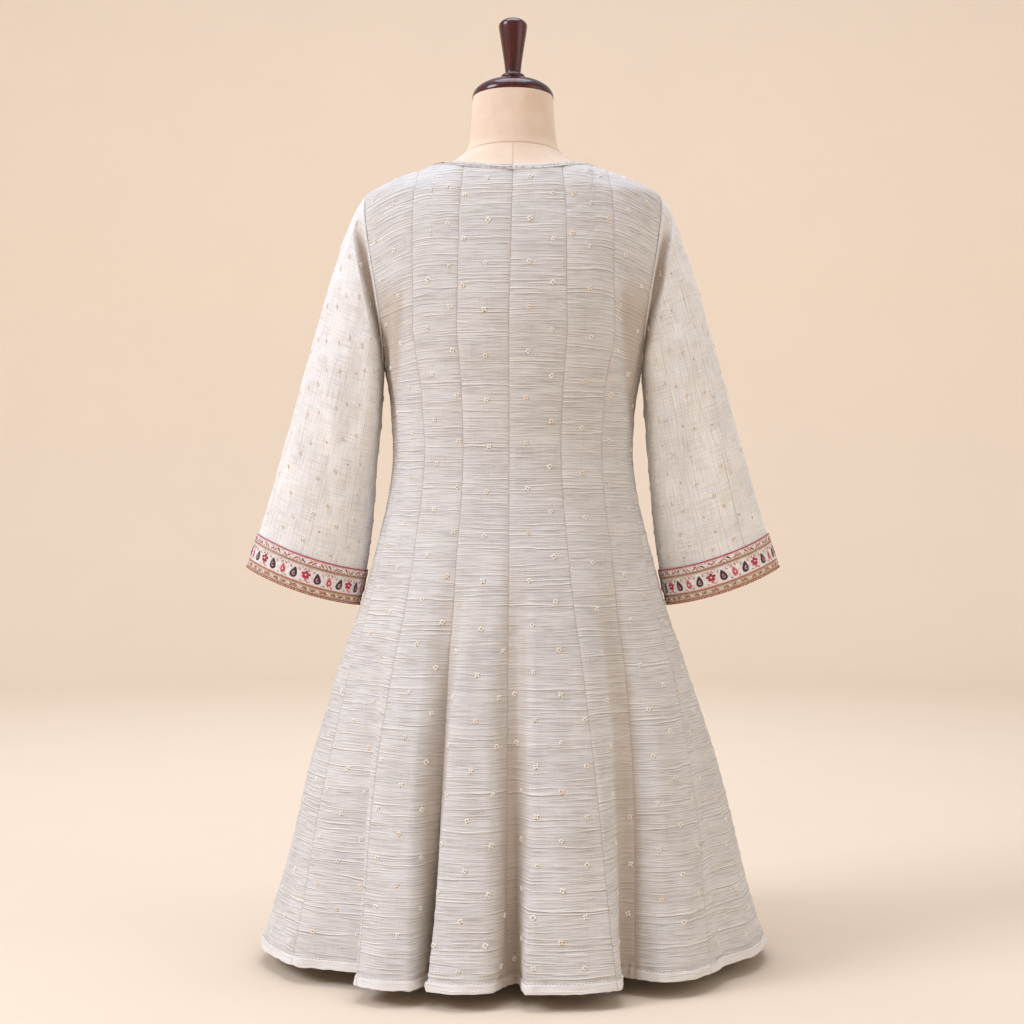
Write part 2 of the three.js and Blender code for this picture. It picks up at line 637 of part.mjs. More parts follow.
// A solid through a table's sections, closed at both ends
function addForm(group, material) {
  const positions = [];
  const faces = [];
  FORM_SECTIONS.forEach(({ z }) => {
    for (let c = 0; c < FORM_COLUMNS; c += 1) {
      const p = sectionPoint(FORM_SECTIONS, (c * 360) / FORM_COLUMNS, z);
      const tilt = clamp((z - NECK_TILT_FROM_Z) / (NECK_TOP_Z - NECK_TILT_FROM_Z), 0, 1);
      positions.push(p.x, p.y, p.z - p.y * Math.tan(NECK_TILT) * tilt);
    }
  });
  const rows = FORM_SECTIONS.length;
  const at = (r, c) => r * FORM_COLUMNS + (c % FORM_COLUMNS);
  for (let r = 0; r < rows - 1; r += 1) {
    for (let c = 0; c < FORM_COLUMNS; c += 1) {
      faces.push(at(r, c), at(r, c + 1), at(r + 1, c + 1), at(r, c), at(r + 1, c + 1), at(r + 1, c));
    }
  }
  for (let c = 1; c < FORM_COLUMNS - 1; c += 1) {
    faces.push(at(0, 0), at(0, c + 1), at(0, c));
    faces.push(at(rows - 1, 0), at(rows - 1, c), at(rows - 1, c + 1));
  }
  const geometry = new THREE.BufferGeometry();
  geometry.setAttribute("position", new THREE.Float32BufferAttribute(positions, 3));
  geometry.setIndex(faces);
  geometry.computeVertexNormals();
  group.add(mesh("form_torso", geometry, material));
}

// A turned piece from its radius at each height, with its axis upright
function lathed(profile, segments) {
  const points = profile.map(([radius, z]) => new THREE.Vector2(radius, z));
  return new THREE.LatheGeometry(points, segments).rotateX(Math.PI / 2);
}

// The turned cap on the neck and the handle on the cap, which lean with the neck
function addCap(group, material) {
  const leaning = new THREE.Group();
  leaning.position.set(0, CAP_SHIFT_Y, NECK_TOP_Z + TOUCH_GAP - CAP_SHIFT_Y * Math.tan(NECK_TILT));
  leaning.rotation.x = -NECK_TILT;
  const cap = [[0, 0], [CAP.radius - 1, 0], [CAP.radius, 1], [CAP.radius, CAP.lip]];
  const domeEnd = Math.acos((HANDLE.collarRadius + 1) / CAP.radius);
  const steps = 7;
  for (let i = 1; i <= steps; i += 1) {
    const a = (domeEnd * i) / steps;
    cap.push([CAP.radius * Math.cos(a), CAP.lip + ((CAP.height - CAP.lip) * Math.sin(a)) / Math.sin(domeEnd)]);
  }
  cap.push([0, CAP.height]);
  const { collarRadius, collarHeight, footRadius, topRadius, height } = HANDLE;
  const handle = [
    [0, 0],
    [collarRadius - 2, 0],
    [collarRadius, collarHeight * 0.3],
    [collarRadius, collarHeight * 0.65],
    [collarRadius - 2.5, collarHeight],
    [footRadius, collarHeight + 0.8],
    [lerp(footRadius, topRadius, 0.25), lerp(collarHeight, height, 0.3)],
    [topRadius, height - 10],
    [topRadius - 0.6, height - 6.5],
    [topRadius - 4.5, height - 2.2],
    [topRadius - 9, height - 0.4],
    [0, height],
  ];
  leaning.add(mesh("neck_cap", lathed(cap, 32), material));
  const knob = mesh("cap_handle", lathed(handle, 24), material);
  knob.position.z = CAP.height + TOUCH_GAP;
  leaning.add(knob);
  group.add(leaning);
}

function addStand(group, metal, base) {
  const poleFoot = BASE_HEIGHT + TOUCH_GAP;
  const poleTop = FORM_SECTIONS[0].z - TOUCH_GAP;
  const length = poleTop - poleFoot;
  const rod = [[0, 0], [POLE_RADIUS, 0], [POLE_RADIUS, length], [0, length]];
  const pole = mesh("stand_pole", lathed(rod, 24), metal);
  pole.position.z = poleFoot;
  group.add(pole);
  const plate = [
    [0, 0],
    [BASE_RADIUS, 0],
    [BASE_RADIUS, BASE_HEIGHT - 6],
    [BASE_RADIUS - 6, BASE_HEIGHT],
    [0, BASE_HEIGHT],
  ];
  group.add(mesh("stand_base", lathed(plate, 48), base));
}

const standard = (color, roughness, metalness = 0) =>
  new THREE.MeshStandardMaterial({ color, roughness, metalness, side: THREE.FrontSide });

const clothMaterial = standard(0xd9d2cb, 0.85);
const bindingMaterial = standard(0xdcd5cd, 0.85);
const embroideryMaterial = standard(0xb98a7c, 0.7);
const jerseyMaterial = standard(0xe8cfb4, 0.9);
const woodMaterial = standard(0x3c1412, 0.22);
const steelMaterial = standard(0x2a2624, 0.4, 0.8);

const kurta = new THREE.Group();
addPanels(kurta, clothMaterial);
addSleeves(kurta, clothMaterial, embroideryMaterial);
addBinding(kurta, bindingMaterial);

const dressForm = new THREE.Group();
addForm(dressForm, jerseyMaterial);
addCap(dressForm, woodMaterial);
addStand(dressForm, steelMaterial, woodMaterial);

const part = new THREE.Group();
part.add(kurta, dressForm);

// The origin is under the middle of the part's box
const box = new THREE.Box3().setFromObject(part, true);
part.position.set(-(box.min.x + box.max.x) / 2, -(box.min.y + box.max.y) / 2, -box.min.z);

export default part;
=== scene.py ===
import math
from functools import lru_cache

import bpy
import numpy as np
from bpy.props import FloatProperty, FloatVectorProperty, IntProperty, PointerProperty
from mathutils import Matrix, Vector


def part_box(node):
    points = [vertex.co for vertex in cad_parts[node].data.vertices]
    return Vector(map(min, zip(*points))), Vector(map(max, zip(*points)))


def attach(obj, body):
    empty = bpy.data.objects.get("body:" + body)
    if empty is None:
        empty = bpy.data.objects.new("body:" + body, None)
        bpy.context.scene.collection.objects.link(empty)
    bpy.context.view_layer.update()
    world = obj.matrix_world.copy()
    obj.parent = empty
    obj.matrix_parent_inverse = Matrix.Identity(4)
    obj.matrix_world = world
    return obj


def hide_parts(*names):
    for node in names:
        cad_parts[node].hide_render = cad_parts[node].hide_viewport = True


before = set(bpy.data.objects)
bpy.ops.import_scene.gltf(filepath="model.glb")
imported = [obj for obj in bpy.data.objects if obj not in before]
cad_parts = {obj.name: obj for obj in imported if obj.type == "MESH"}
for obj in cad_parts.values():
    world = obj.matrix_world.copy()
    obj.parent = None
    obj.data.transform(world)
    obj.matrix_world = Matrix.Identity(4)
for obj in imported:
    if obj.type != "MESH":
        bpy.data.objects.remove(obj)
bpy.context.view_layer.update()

bl_info = {
    "name": "Panelled kurta on a dress form",
    "version": (1, 0, 0),
    "blender": (4, 5, 0),
    "location": "3D View > Sidebar > Kurta",
    "description": "Dresses the panelled kurta and its form in woven cloth, embroidery, jersey and wood",
    "category": "Object",
}

# The tables and sizes below are the kurta's own, in millimetres, +Z up, with -Y at its back. Angles go round
# the body from the centre back towards +X.
MM = 0.001
HEM_Z, WAIST_Z, FOLDS_TOP_Z, CHEST_Z = 20.0, 640.0, 520.0, 752.0
SEAM_GAP, SEAM_EASE = 0.36, 0.04
ROUNDNESS = 2.1
NECK_HALF_WIDTH, NECK_BACK_Z, NECK_FRONT_Z, NECK_POINT_Z, NECK_ROUNDNESS = 100.0, 1008.0, 925.0, 1019.0, 2.2
SHOULDER_X, SHOULDER_Z = 190.0, 982.0
HEM_BAND_Z = HEM_Z + 22.0
ARMHOLE_Z, ARMHOLE_HALF_HEIGHT, ARMHOLE_HALF_ANGLE = 870.0, 112.0, 22.0
CUFF_OUTER, CUFF_INNER = np.array([344.0, 0.0, 500.0]), np.array([202.0, 0.0, 452.0])
CUFF_HALF_DEPTH, CUFF_SAG = 40.0, 6.0
BORDER_WIDTH, BORDER_LIFT, BORDER_CLOTH = 47.0, 0.7, 1.2
BINDING_WIDTH, BINDING_LIFT, BINDING_WALL = 8.0, 0.8, 0.9
SLEEVE_HEAD_INSET = 2.0
PANEL_CROWN, CROWN_REACH, SEAM_SINK = 1.5, 5.0, 0.5
HEM_TURN, HEM_THICK, HEM_SHOWN, GROOVE_UP, GROOVE_WIDTH = 12.0, 1.15, 12.6, 13.6, 1.7
CAMERA_X = -1.3
NECK_TOP_Z, NECK_TILT_FROM_Z, NECK_TILT = 1109.0, 1030.0, math.radians(5)
CAP_RADIUS, CAP_HEIGHT, CAP_LIP, CAP_SHIFT_Y = 53.0, 25.0, 2.5, 4.0
HANDLE_COLLAR, HANDLE_COLLAR_HEIGHT, HANDLE_FOOT, HANDLE_TOP, HANDLE_HEIGHT = 16.0, 8.0, 10.0, 19.0, 82.0
POLE_RADIUS, BASE_RADIUS, BASE_HEIGHT, TOUCH_GAP = 12.5, 158.0, 14.0, 0.3

HEIGHT, WIDE, BACK, FRONT = range(4)
BODY_SECTIONS = np.array([
    (20, 324, 272, 272), (98, 301, 252, 253), (238, 265, 215, 218), (376, 223, 177, 183),
    (443, 199, 158, 166), (497, 184, 143, 153), (545, 172, 130, 143), (588, 162, 119, 135),
    (646, 155, 111, 131), (718, 160, 112, 146), (752, 166, 113, 150), (800, 176, 114, 146),
    (850, 187, 113, 136), (900, 195, 107, 122), (940, 197, 100, 110), (970, 194, 93, 102),
    (982, 190, 90, 98), (993, 169, 86, 93), (1004, 145, 81, 88), (1012, 122, 76, 84), (1019, 100, 71, 80),
], float)
FORM_SECTIONS = np.array([
    (330, 146, 98, 98), (340, 156, 107, 106), (425, 165, 114, 114), (485, 158, 108, 114),
    (560, 137, 95, 106), (625, 121, 86, 102), (690, 138, 93, 124), (745, 151, 98, 138),
    (800, 160, 102, 134), (860, 170, 103, 122), (915, 180, 99, 111), (950, 184, 94, 103),
    (967, 184, 90.5, 99), (979.4, 181, 86, 93), (990.4, 167.5, 81, 87), (1001.4, 144, 75.5, 82),
    (1009.4, 121, 70.5, 77.5), (1016.4, 99, 65.5, 73.5), (1026, 78, 60, 71), (1040, 61, 53, 64),
    (1058, 56, 50, 60), (1109, 52, 48, 56),
], float)

# Each seam's angle on the body and at the hem, and how far from the middle it meets the neckline or the
# shoulder seam. The side seams stop at the armhole.
SEAMS = [
    (-1.5, -1.2, 0), (21.5, 20.2, 62), (45, 28.7, 120), (73, 46.8, 190), (90, 90, None), (107, 121, 190),
    (135, 143, 120), (158, 162, 62), (180, 180, 0), (202, 199, 62), (225, 216, 120), (253, 240, 190),
    (270, 270, None), (287, 302, 190), (315, 328.1, 120), (337.5, 342, 62),
]
PANEL_NAMES = [
    "back_centre_right", "back_mid_right", "back_outer_right", "back_side_right",
    "front_side_right", "front_outer_right", "front_mid_right", "front_centre_right",
    "front_centre_left", "front_mid_left", "front_outer_left", "front_side_left",
    "back_side_left", "back_outer_left", "back_mid_left", "back_centre_left",
]
NECK_CORNER_SHARE = {"back": 0.5, "front": 0.75}

# The skirt's folds at the hem: the angles that each starts and ends at, how far it stands out, and the angle
# and the depth of the valley after it
FOLDS = [
    (2.4, 20.2, 7, 26, 46), (34, 44, -3, 56, 16), (70, 104, -4, 113, 34), (121, 136, 4, 139.5, 40),
    (143, 158, 6, 160.5, 42), (163, 177, 4, 180, 38), (183, 199, 4, 203, 44), (209, 222, 5, 226, 40),
    (231, 243, 2, 250, 28), (262, 300, -7, 322.5, 40), (328.1, 340.1, 10, 342, 44),
    (343.8, 354.6, 6, 361, 45),
]
FOLD_CROWN = 5.0

# Where the sleeve starts to run from the armhole and how it reaches the cuff, round the armhole from its top
SLEEVE_STARTS = np.array([
    (0, 0.84, 0, -0.54, 118), (45, 0.74, -0.2, -0.64, 140), (90, 0.5, -0.5, -0.7, 130),
    (135, 0.12, -0.8, -0.58, 130), (180, 0.12, 0, -1, 290),
])
SLEEVE_ENDS = np.array([(0.0, 480.0), (90, 330), (180, 250)])
DIP_TOP, DIP_FOOT, DIP_DEPTH, DIP_EDGE, DIP_FADE = (207.0, 928.0), (166.0, 735.0), 17.0, 9.0, 50.0

# Soft creases that the cloth has taken, drawn on the back (-1) or the front (1): from x, z to x, z, then half
# their width and how deep they are, or how high when negative
BODY_CREASES = [
    (-1, -60, 430, -75, 180, 9, 1.6), (-1, -42, 395, -36, 210, 7, 1.1), (-1, -118, 330, -150, 130, 12, 1.8),
    (-1, -20, 480, -46, 300, 8, 1.0), (-1, 22, 450, 34, 240, 9, -1.2), (-1, 70, 420, 96, 170, 10, 1.5),
    (-1, 50, 330, 66, 120, 8, -1.1), (-1, 120, 470, 158, 260, 12, 1.7), (-1, 158, 400, 205, 150, 14, -1.6),
    (-1, 190, 300, 236, 90, 10, 1.4), (-1, -190, 380, -232, 170, 13, 1.6),
    (-1, -160, 300, -186, 90, 9, -1.2), (-1, -100, 560, -132, 420, 10, 0.9),
    (-1, 96, 600, 118, 470, 9, 0.8), (-1, -152, 770, -118, 716, 9, 1.2), (-1, 154, 768, 122, 712, 9, 1.1),
    (-1, -160, 812, -134, 742, 8, 0.9), (-1, 164, 820, 138, 748, 8, -0.8),
    (-1, -178, 940, -150, 880, 10, 0.9), (-1, 180, 940, 156, 872, 10, 0.8),
    (-1, -120, 648, -92, 622, 7, 0.6), (-1, 122, 652, 88, 628, 7, 0.6), (-1, 131, 876, 140, 684, 5, -2.2),
    (-1, 144, 868, 154, 694, 8, 4.2), (-1, -146, 836, -143, 690, 5, -1.6),
    (-1, -157, 830, -156, 700, 8, 3.0), (1, -58, 440, -80, 190, 9, 1.5), (1, -30, 400, -34, 160, 8, -1.1),
    (1, -122, 400, -156, 170, 12, 1.7), (1, 34, 470, 40, 250, 8, 1.1), (1, 78, 420, 104, 150, 11, 1.6),
    (1, 128, 460, 164, 230, 12, -1.5), (1, 186, 360, 228, 120, 12, 1.5), (1, -184, 340, -226, 110, 12, 1.4),
    (1, -148, 772, -104, 724, 9, 1.1), (1, 150, 766, 108, 720, 9, 1.0), (1, -88, 880, -60, 796, 14, -1.0),
    (1, 92, 872, 62, 790, 14, -1.0), (1, -176, 930, -150, 868, 10, 0.8), (1, 176, 934, 148, 862, 10, 0.9),
    (1, 0, 900, 4, 820, 10, 0.7),
]
# The same on the sleeves, the left one's drawn as a right one's
SLEEVE_CREASES = {
    "right": [
        (-1, 206, 900, 188, 790, 8, 2.2), (-1, 214, 850, 192, 700, 10, 2.4),
        (-1, 236, 800, 214, 640, 12, -1.6), (-1, 250, 700, 222, 560, 11, 1.5),
        (-1, 282, 690, 262, 560, 12, -1.4), (-1, 300, 640, 292, 540, 9, 1.2),
        (-1, 190, 716, 226, 672, 9, 1.3), (-1, 196, 640, 240, 596, 9, 1.0),
        (-1, 230, 930, 206, 868, 9, 1.1), (1, 204, 890, 190, 770, 9, 2.0), (1, 226, 820, 202, 670, 11, 2.0),
        (1, 250, 760, 230, 600, 12, -1.5), (1, 276, 680, 250, 550, 11, 1.4),
        (1, 192, 690, 234, 640, 9, 1.2), (1, 300, 620, 286, 530, 10, 1.1),
    ],
    "left": [
        (-1, 208, 905, 190, 800, 8, 2.0), (-1, 220, 860, 196, 720, 11, 2.2),
        (-1, 246, 790, 226, 650, 12, -1.5), (-1, 262, 720, 236, 570, 10, 1.6),
        (-1, 288, 670, 276, 550, 11, -1.2), (-1, 194, 700, 240, 640, 10, 1.4),
        (-1, 200, 620, 236, 584, 8, 1.0), (-1, 236, 920, 212, 850, 9, 1.0),
        (-1, 306, 600, 300, 530, 9, 1.0), (1, 208, 880, 192, 760, 9, 1.9), (1, 232, 800, 206, 660, 11, 2.0),
        (1, 258, 740, 240, 590, 12, -1.4), (1, 196, 680, 236, 620, 9, 1.2),
        (1, 284, 650, 268, 540, 10, 1.2),
    ],
}

_low, _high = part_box("stand_base")
SHIFT = np.array([(_low[0] + _high[0]) / 2, (_low[1] + _high[1]) / 2, 0.0])


def linear(hex_colour):
    """The linear colour of an sRGB hex value."""
    parts = [int(hex_colour[i:i + 2], 16) / 255 for i in (0, 2, 4)]
    return [p / 12.92 if p <= 0.04045 else ((p + 0.055) / 1.055) ** 2.4 for p in parts]


def rgba(colour, share=1.0):
    """A node's colour, darkened to a share of its light."""
    return (*(part * share for part in colour[:3]), 1.0)


# The surfaces of the kurta

def at_height(table, column, z):
    """A table's column at some heights, on a smooth curve through its rows."""
    z = np.asarray(z, float)
    heights, values = table[:, HEIGHT], table[:, column]
    slope = np.empty_like(values)
    slope[1:-1] = (values[2:] - values[:-2]) / (heights[2:] - heights[:-2])
    slope[0] = (values[1] - values[0]) / (heights[1] - heights[0])
    slope[-1] = (values[-1] - values[-2]) / (heights[-1] - heights[-2])
    i = np.clip(np.searchsorted(heights, z, side="left") - 1, 0, len(heights) - 2)
    span = heights[i + 1] - heights[i]
    t = np.clip((z - heights[i]) / span, 0, 1)
    return (
        (2 * t**3 - 3 * t**2 + 1) * values[i]
        + (t**3 - 2 * t**2 + t) * span * slope[i]
        + (3 * t**2 - 2 * t**3) * values[i + 1]
        + (t**3 - t**2) * span * slope[i + 1]
    )


def power(value, exponent):
    """A power that keeps the value's sign."""
    return np.sign(value) * np.abs(value) ** exponent


def smooth(t):
    """0 below 0, 1 above 1 and a soft rise between them."""
    t = np.clip(t, 0, 1)
    return t * t * (3 - 2 * t)


def lerp(a, b, t):
    return a + (b - a) * t


def stacked(x, y, z):
    return np.stack(np.broadcast_arrays(x, y, z), axis=-1).astype(float)


def unit(vectors):
    return vectors / np.maximum(np.linalg.norm(vectors, axis=-1, keepdims=True), 1e-9)


def section_points(table, angle, z, grow=0.0):
    """Points round a table's sections, which stand out of them by grow."""
    a = np.radians(angle)
    z = np.asarray(z, float)
    depth = np.where(np.cos(a) >= 0, at_height(table, BACK, z), at_height(table, FRONT, z))
    x = (at_height(table, WIDE, z) + grow) * power(np.sin(a), 2 / ROUNDNESS)
    y = -(depth + grow) * power(np.cos(a), 2 / ROUNDNESS)
    return stacked(x, y, z)


def section_points_at_x(x, z, side):
    """Points on the body's sections at a place across, at the back (-1) or the front (1)."""
    share = np.minimum(np.abs(x) / at_height(BODY_SECTIONS, WIDE, z), 1)
    depth = at_height(BODY_SECTIONS, BACK if side < 0 else FRONT, z)
    return stacked(x, side * depth * (1 - share**ROUNDNESS) ** (1 / ROUNDNESS), z)


def fold_at(angle):
    """How far the hem stands out of its plain outline at some angles."""
    stops = []
    for turn in (-360, 0, 360):
        for start, end, rise, valley, depth in FOLDS:
            stops += [
                (start + turn, rise), ((start + end) / 2 + turn, rise + FOLD_CROWN),
                (end + turn, rise), (valley + turn, -depth),
            ]
    at, out = np.array(stops, float).T
    i = np.clip(np.searchsorted(at, angle, side="left") - 1, 0, len(at) - 2)
    return lerp(out[i], out[i + 1], smooth((angle - at[i]) / (at[i + 1] - at[i])))


def hem_points(angle):
    return section_points(BODY_SECTIONS, angle, np.full(np.shape(angle), HEM_Z), fold_at(angle))


def armhole_angle(z):
    return ARMHOLE_HALF_ANGLE * np.sqrt(np.maximum(0, 1 - ((z - ARMHOLE_Z) / ARMHOLE_HALF_HEIGHT) ** 2))


def armhole_foot_z(from_side):
    return ARMHOLE_Z - ARMHOLE_HALF_HEIGHT * np.sqrt(np.maximum(0, 1 - (from_side / ARMHOLE_HALF_ANGLE) ** 2))


def armhole_x(z):
    z = np.asarray(z, float)
    edge = section_points(BODY_SECTIONS, 90 - armhole_angle(z), z)[..., 0]
    return np.where(z >= SHOULDER_Z, SHOULDER_X, edge)


YOKE_Z = float(armhole_foot_z(90 - SEAMS[3][0]))


def outline_value(p):
    """1 on the kurta's plain outline, less inside it and more outside it."""
    width, back, front = (at_height(BODY_SECTIONS, column, p[..., 2]) for column in (WIDE, BACK, FRONT))
    depth = np.where(p[..., 1] < 0, back, front)
    return (np.abs(p[..., 0]) / width) ** ROUNDNESS + (np.abs(p[..., 1]) / depth) ** ROUNDNESS


def outline_slope(p):
    step = 0.5
    parts = [(outline_value(p + d) - outline_value(p - d)) / (2 * step) for d in np.eye(3) * step]
    return np.stack(parts, axis=-1)


def outwards(p):
    return unit(outline_slope(p))


def onto_outline(p):
    """The points moved onto the kurta's plain outline."""
    for _ in range(4):
        slope = outline_slope(p)
        p = p + slope * ((1 - outline_value(p)) / (slope**2).sum(-1))[..., None]
    return p


def surface_z(x, y):
    """The height at which the outline passes over a place on the shoulders or the chest."""
    x, y = np.broadcast_arrays(np.asarray(x, float), np.asarray(y, float))
    low, high = np.full(x.shape, NECK_FRONT_Z - 10), np.full(x.shape, NECK_POINT_Z)
    for _ in range(24):
        middle = (low + high) / 2
        inside = outline_value(stacked(x, y, middle)) < 1
        low, high = np.where(inside, middle, low), np.where(inside, high, middle)
    return (low + high) / 2


def shoulder_point(x):
    return np.array([x, 0.0, float(surface_z(x, 0))])


def neckline_points(turn):
    """turn is 0 at the centre back, 90 and 270 at the neck points and 180 at the centre front."""
    a = np.radians(turn)
    back, front = at_height(BODY_SECTIONS, BACK, NECK_BACK_Z), at_height(BODY_SECTIONS, FRONT, NECK_FRONT_Z)
    depth = np.where(np.cos(a) > 0, back, front)
    x = NECK_HALF_WIDTH * power(np.sin(a), 2 / NECK_ROUNDNESS)
    y = -depth * power(np.cos(a), 2 / NECK_ROUNDNESS)
    return stacked(x, y, surface_z(x, y))


def neckline_turn(x, back):
    turn = math.degrees(math.asin(power(x / NECK_HALF_WIDTH, NECK_ROUNDNESS / 2)))
    return turn if back else 180 - turn


def evenly(curve, start, end, shares):
    """The values between start and end at shares of the curve's length between them."""
    values = np.linspace(start, end, 161)
    points = curve(values)
    lengths = np.concatenate([[0], np.cumsum(np.linalg.norm(np.diff(points, axis=0), axis=1))])
    return np.interp(np.asarray(shares) * lengths[-1], lengths, values)


def column_top(start, end, body, share):
    """Where a column ends on the neckline or the shoulder seam."""
    back = math.cos(math.radians(body)) > 0
    sign = 1 if body <= 180 else -1
    inner, outer = min(start[2], end[2]), max(start[2], end[2])
    outward = share if end[2] > start[2] else 1 - share
    if inner > NECK_HALF_WIDTH:
        return shoulder_point(sign * lerp(inner, outer, outward))
    corner = NECK_CORNER_SHARE["back" if back else "front"] if outer > NECK_HALF_WIDTH else 1
    if outward > corner:
        return shoulder_point(sign * lerp(NECK_HALF_WIDTH, outer, (outward - corner) / (1 - corner)))
    low = neckline_turn(sign * inner, back)
    high = neckline_turn(sign * min(outer, NECK_HALF_WIDTH), back)
    return neckline_points(evenly(neckline_points, low, high, outward / corner))


def lower_points(body, hem, fold, z):
    """Points below the chest, where a column runs from its angle on the body to its angle at the hem."""
    wide = np.clip((WAIST_Z - z) / (WAIST_Z - HEM_Z), 0, 1) ** 1.15
    deep = np.clip((FOLDS_TOP_Z - z) / (FOLDS_TOP_Z - HEM_Z), 0, 1) ** 1.15
    return section_points(BODY_SECTIONS, lerp(body, hem, wide), z, fold * deep)


def yoke_points(body, foot, top, rows):
    """A column's points from YOKE_Z to the neckline or the shoulder seam."""
    side = -1 if math.cos(math.radians(body)) > 0 else 1
    foot_share = foot[0] / armhole_x(YOKE_Z)
    top_share = top[0] / armhole_x(top[2])
    up = 1 - (1 - np.linspace(0, 1, 241)) ** 2
    z = lerp(YOKE_Z, top[2], up)
    fine = section_points_at_x(armhole_x(z) * lerp(foot_share, top_share, up), z, side)
    if abs(top[1]) < SEAM_GAP:
        fine[-1, 1] = side * SEAM_GAP / 2
    lengths = np.concatenate([[0], np.cumsum(np.linalg.norm(np.diff(fine, axis=0), axis=1))])
    at = np.linspace(0, lengths[-1], rows + 1)[1:]
    return np.stack([np.interp(at, lengths, fine[:, k]) for k in range(3)], axis=-1)


def grid_normals(grid, closed=False):
    """Each point's way out of a grid's face."""
    if closed:
        across = np.roll(grid, -1, axis=1) - np.roll(grid, 1, axis=1)
    else:
        across = np.gradient(grid, axis=1)
    return unit(np.cross(across, np.gradient(grid, axis=0)))


WAVES = 9


def ripples(seed, x, y, length_x, length_y):
    """A smooth uneven relief of about one unit, with waves of about these lengths."""
    draw = np.random.default_rng(seed)
    total = np.zeros(np.broadcast(x, y).shape)
    for _ in range(WAVES):
        fx = draw.uniform(0.5, 1.4) / length_x * draw.choice([-1, 1])
        fy = draw.uniform(0.5, 1.4) / length_y
        total += np.sin(2 * np.pi * (fx * x + fy * y) + draw.uniform(0, 6.28))
    return total / math.sqrt(WAVES)


def creased(points, creases):
    """How far each point moves outwards for the soft creases near it."""
    total = np.zeros(points.shape[:-1])
    x, z = points[..., 0], points[..., 2]
    for side, x0, z0, x1, z1, width, depth in creases:
        run = np.array([x1 - x0, z1 - z0], float)
        length = np.hypot(*run)
        t = ((x - x0) * run[0] + (z - z0) * run[1]) / length**2
        bow = 0.06 * length * np.sin(np.pi * np.clip(t, 0, 1))
        away = ((x - x0) * run[1] - (z - z0) * run[0]) / length - bow
        taper = smooth(np.clip((t + 0.12) / 0.4, 0, 1)) * smooth(np.clip((1.12 - t) / 0.4, 0, 1))
        shape = np.exp(-((away / width) ** 2)) - 0.4 * np.exp(-(((away - 1.9 * width) / (1.3 * width)) ** 2))
        total -= np.where(points[..., 1] * side > 0, depth * taper * shape, 0)
    return total


class Cloth:
    """A grid of points on the cloth's face, each with its way out and its place on the flat cloth, in mm."""

    def __init__(self, points, out, across, up, closed=False):
        self.points, self.out, self.across, self.up, self.closed = points, out, across, up, closed
        self.sag = 0.0

    def spots(self, across, up):
        """Points on the face and their ways out, at places on the flat cloth."""
        rows, columns = self.up.shape
        row = np.interp(up, self.up[:, columns // 2], np.arange(rows))
        r = np.minimum(row.astype(int), rows - 2)
        f = (row - r)[:, None]
        line = self.across[r] * (1 - f) + self.across[r + 1] * f
        c = np.clip((line < np.asarray(across)[:, None]).sum(1) - 1, 0, columns - 2)
        each = np.arange(len(c))
        g = np.clip((across - line[each, c]) / (line[each, c + 1] - line[each, c]), -0.2, 1.2)[:, None]

        def looked_up(grid):
            low = grid[r, c] * (1 - g) + grid[r, c + 1] * g
            high = grid[r + 1, c] * (1 - g) + grid[r + 1, c + 1] * g
            return low * (1 - f) + high * f

        return looked_up(self.points), unit(looked_up(self.out))


# Shares across a panel, closer together at the seams
ACROSS_SHARES = np.concatenate([
    [0, 0.012, 0.03, 0.06], np.linspace(0.1, 0.9, 17), [0.94, 0.97, 0.988, 1],
])
SKIRT_ROWS, HEM_ROWS, ARMPIT_ROWS, YOKE_ROWS = 196, 20, 10, 52
FOLD_NEIGHBOUR = 7.0


def painted_shade_share(points, hem):
    """How deep each point lies in a fold of the skirt, or in the hollow beside the sleeve, from 0 to 1: the
    share of painted shade that the cloth's colour takes there.
    """
    x, y, z = np.abs(points[..., 0]), np.abs(points[..., 1]), points[..., 2]
    fade = np.clip((FOLDS_TOP_Z - z) / (FOLDS_TOP_Z - HEM_Z), 0, 1) ** 0.6
    beside = np.minimum(fold_at(hem - FOLD_NEIGHBOUR), fold_at(hem + FOLD_NEIGHBOUR))
    in_fold = smooth((beside - fold_at(hem) - 4) / 28) * fade
    # The hollow beside the sleeve, where the side turns away under the arm, also takes painted shade
    hollow = smooth((x - lerp(145, 134, smooth((z - 680) / 190)) + y * 0.02) / 9)
    return np.maximum(in_fold, 0.8 * hollow * smooth((z - 655) / 50) * smooth((886 - z) / 60))


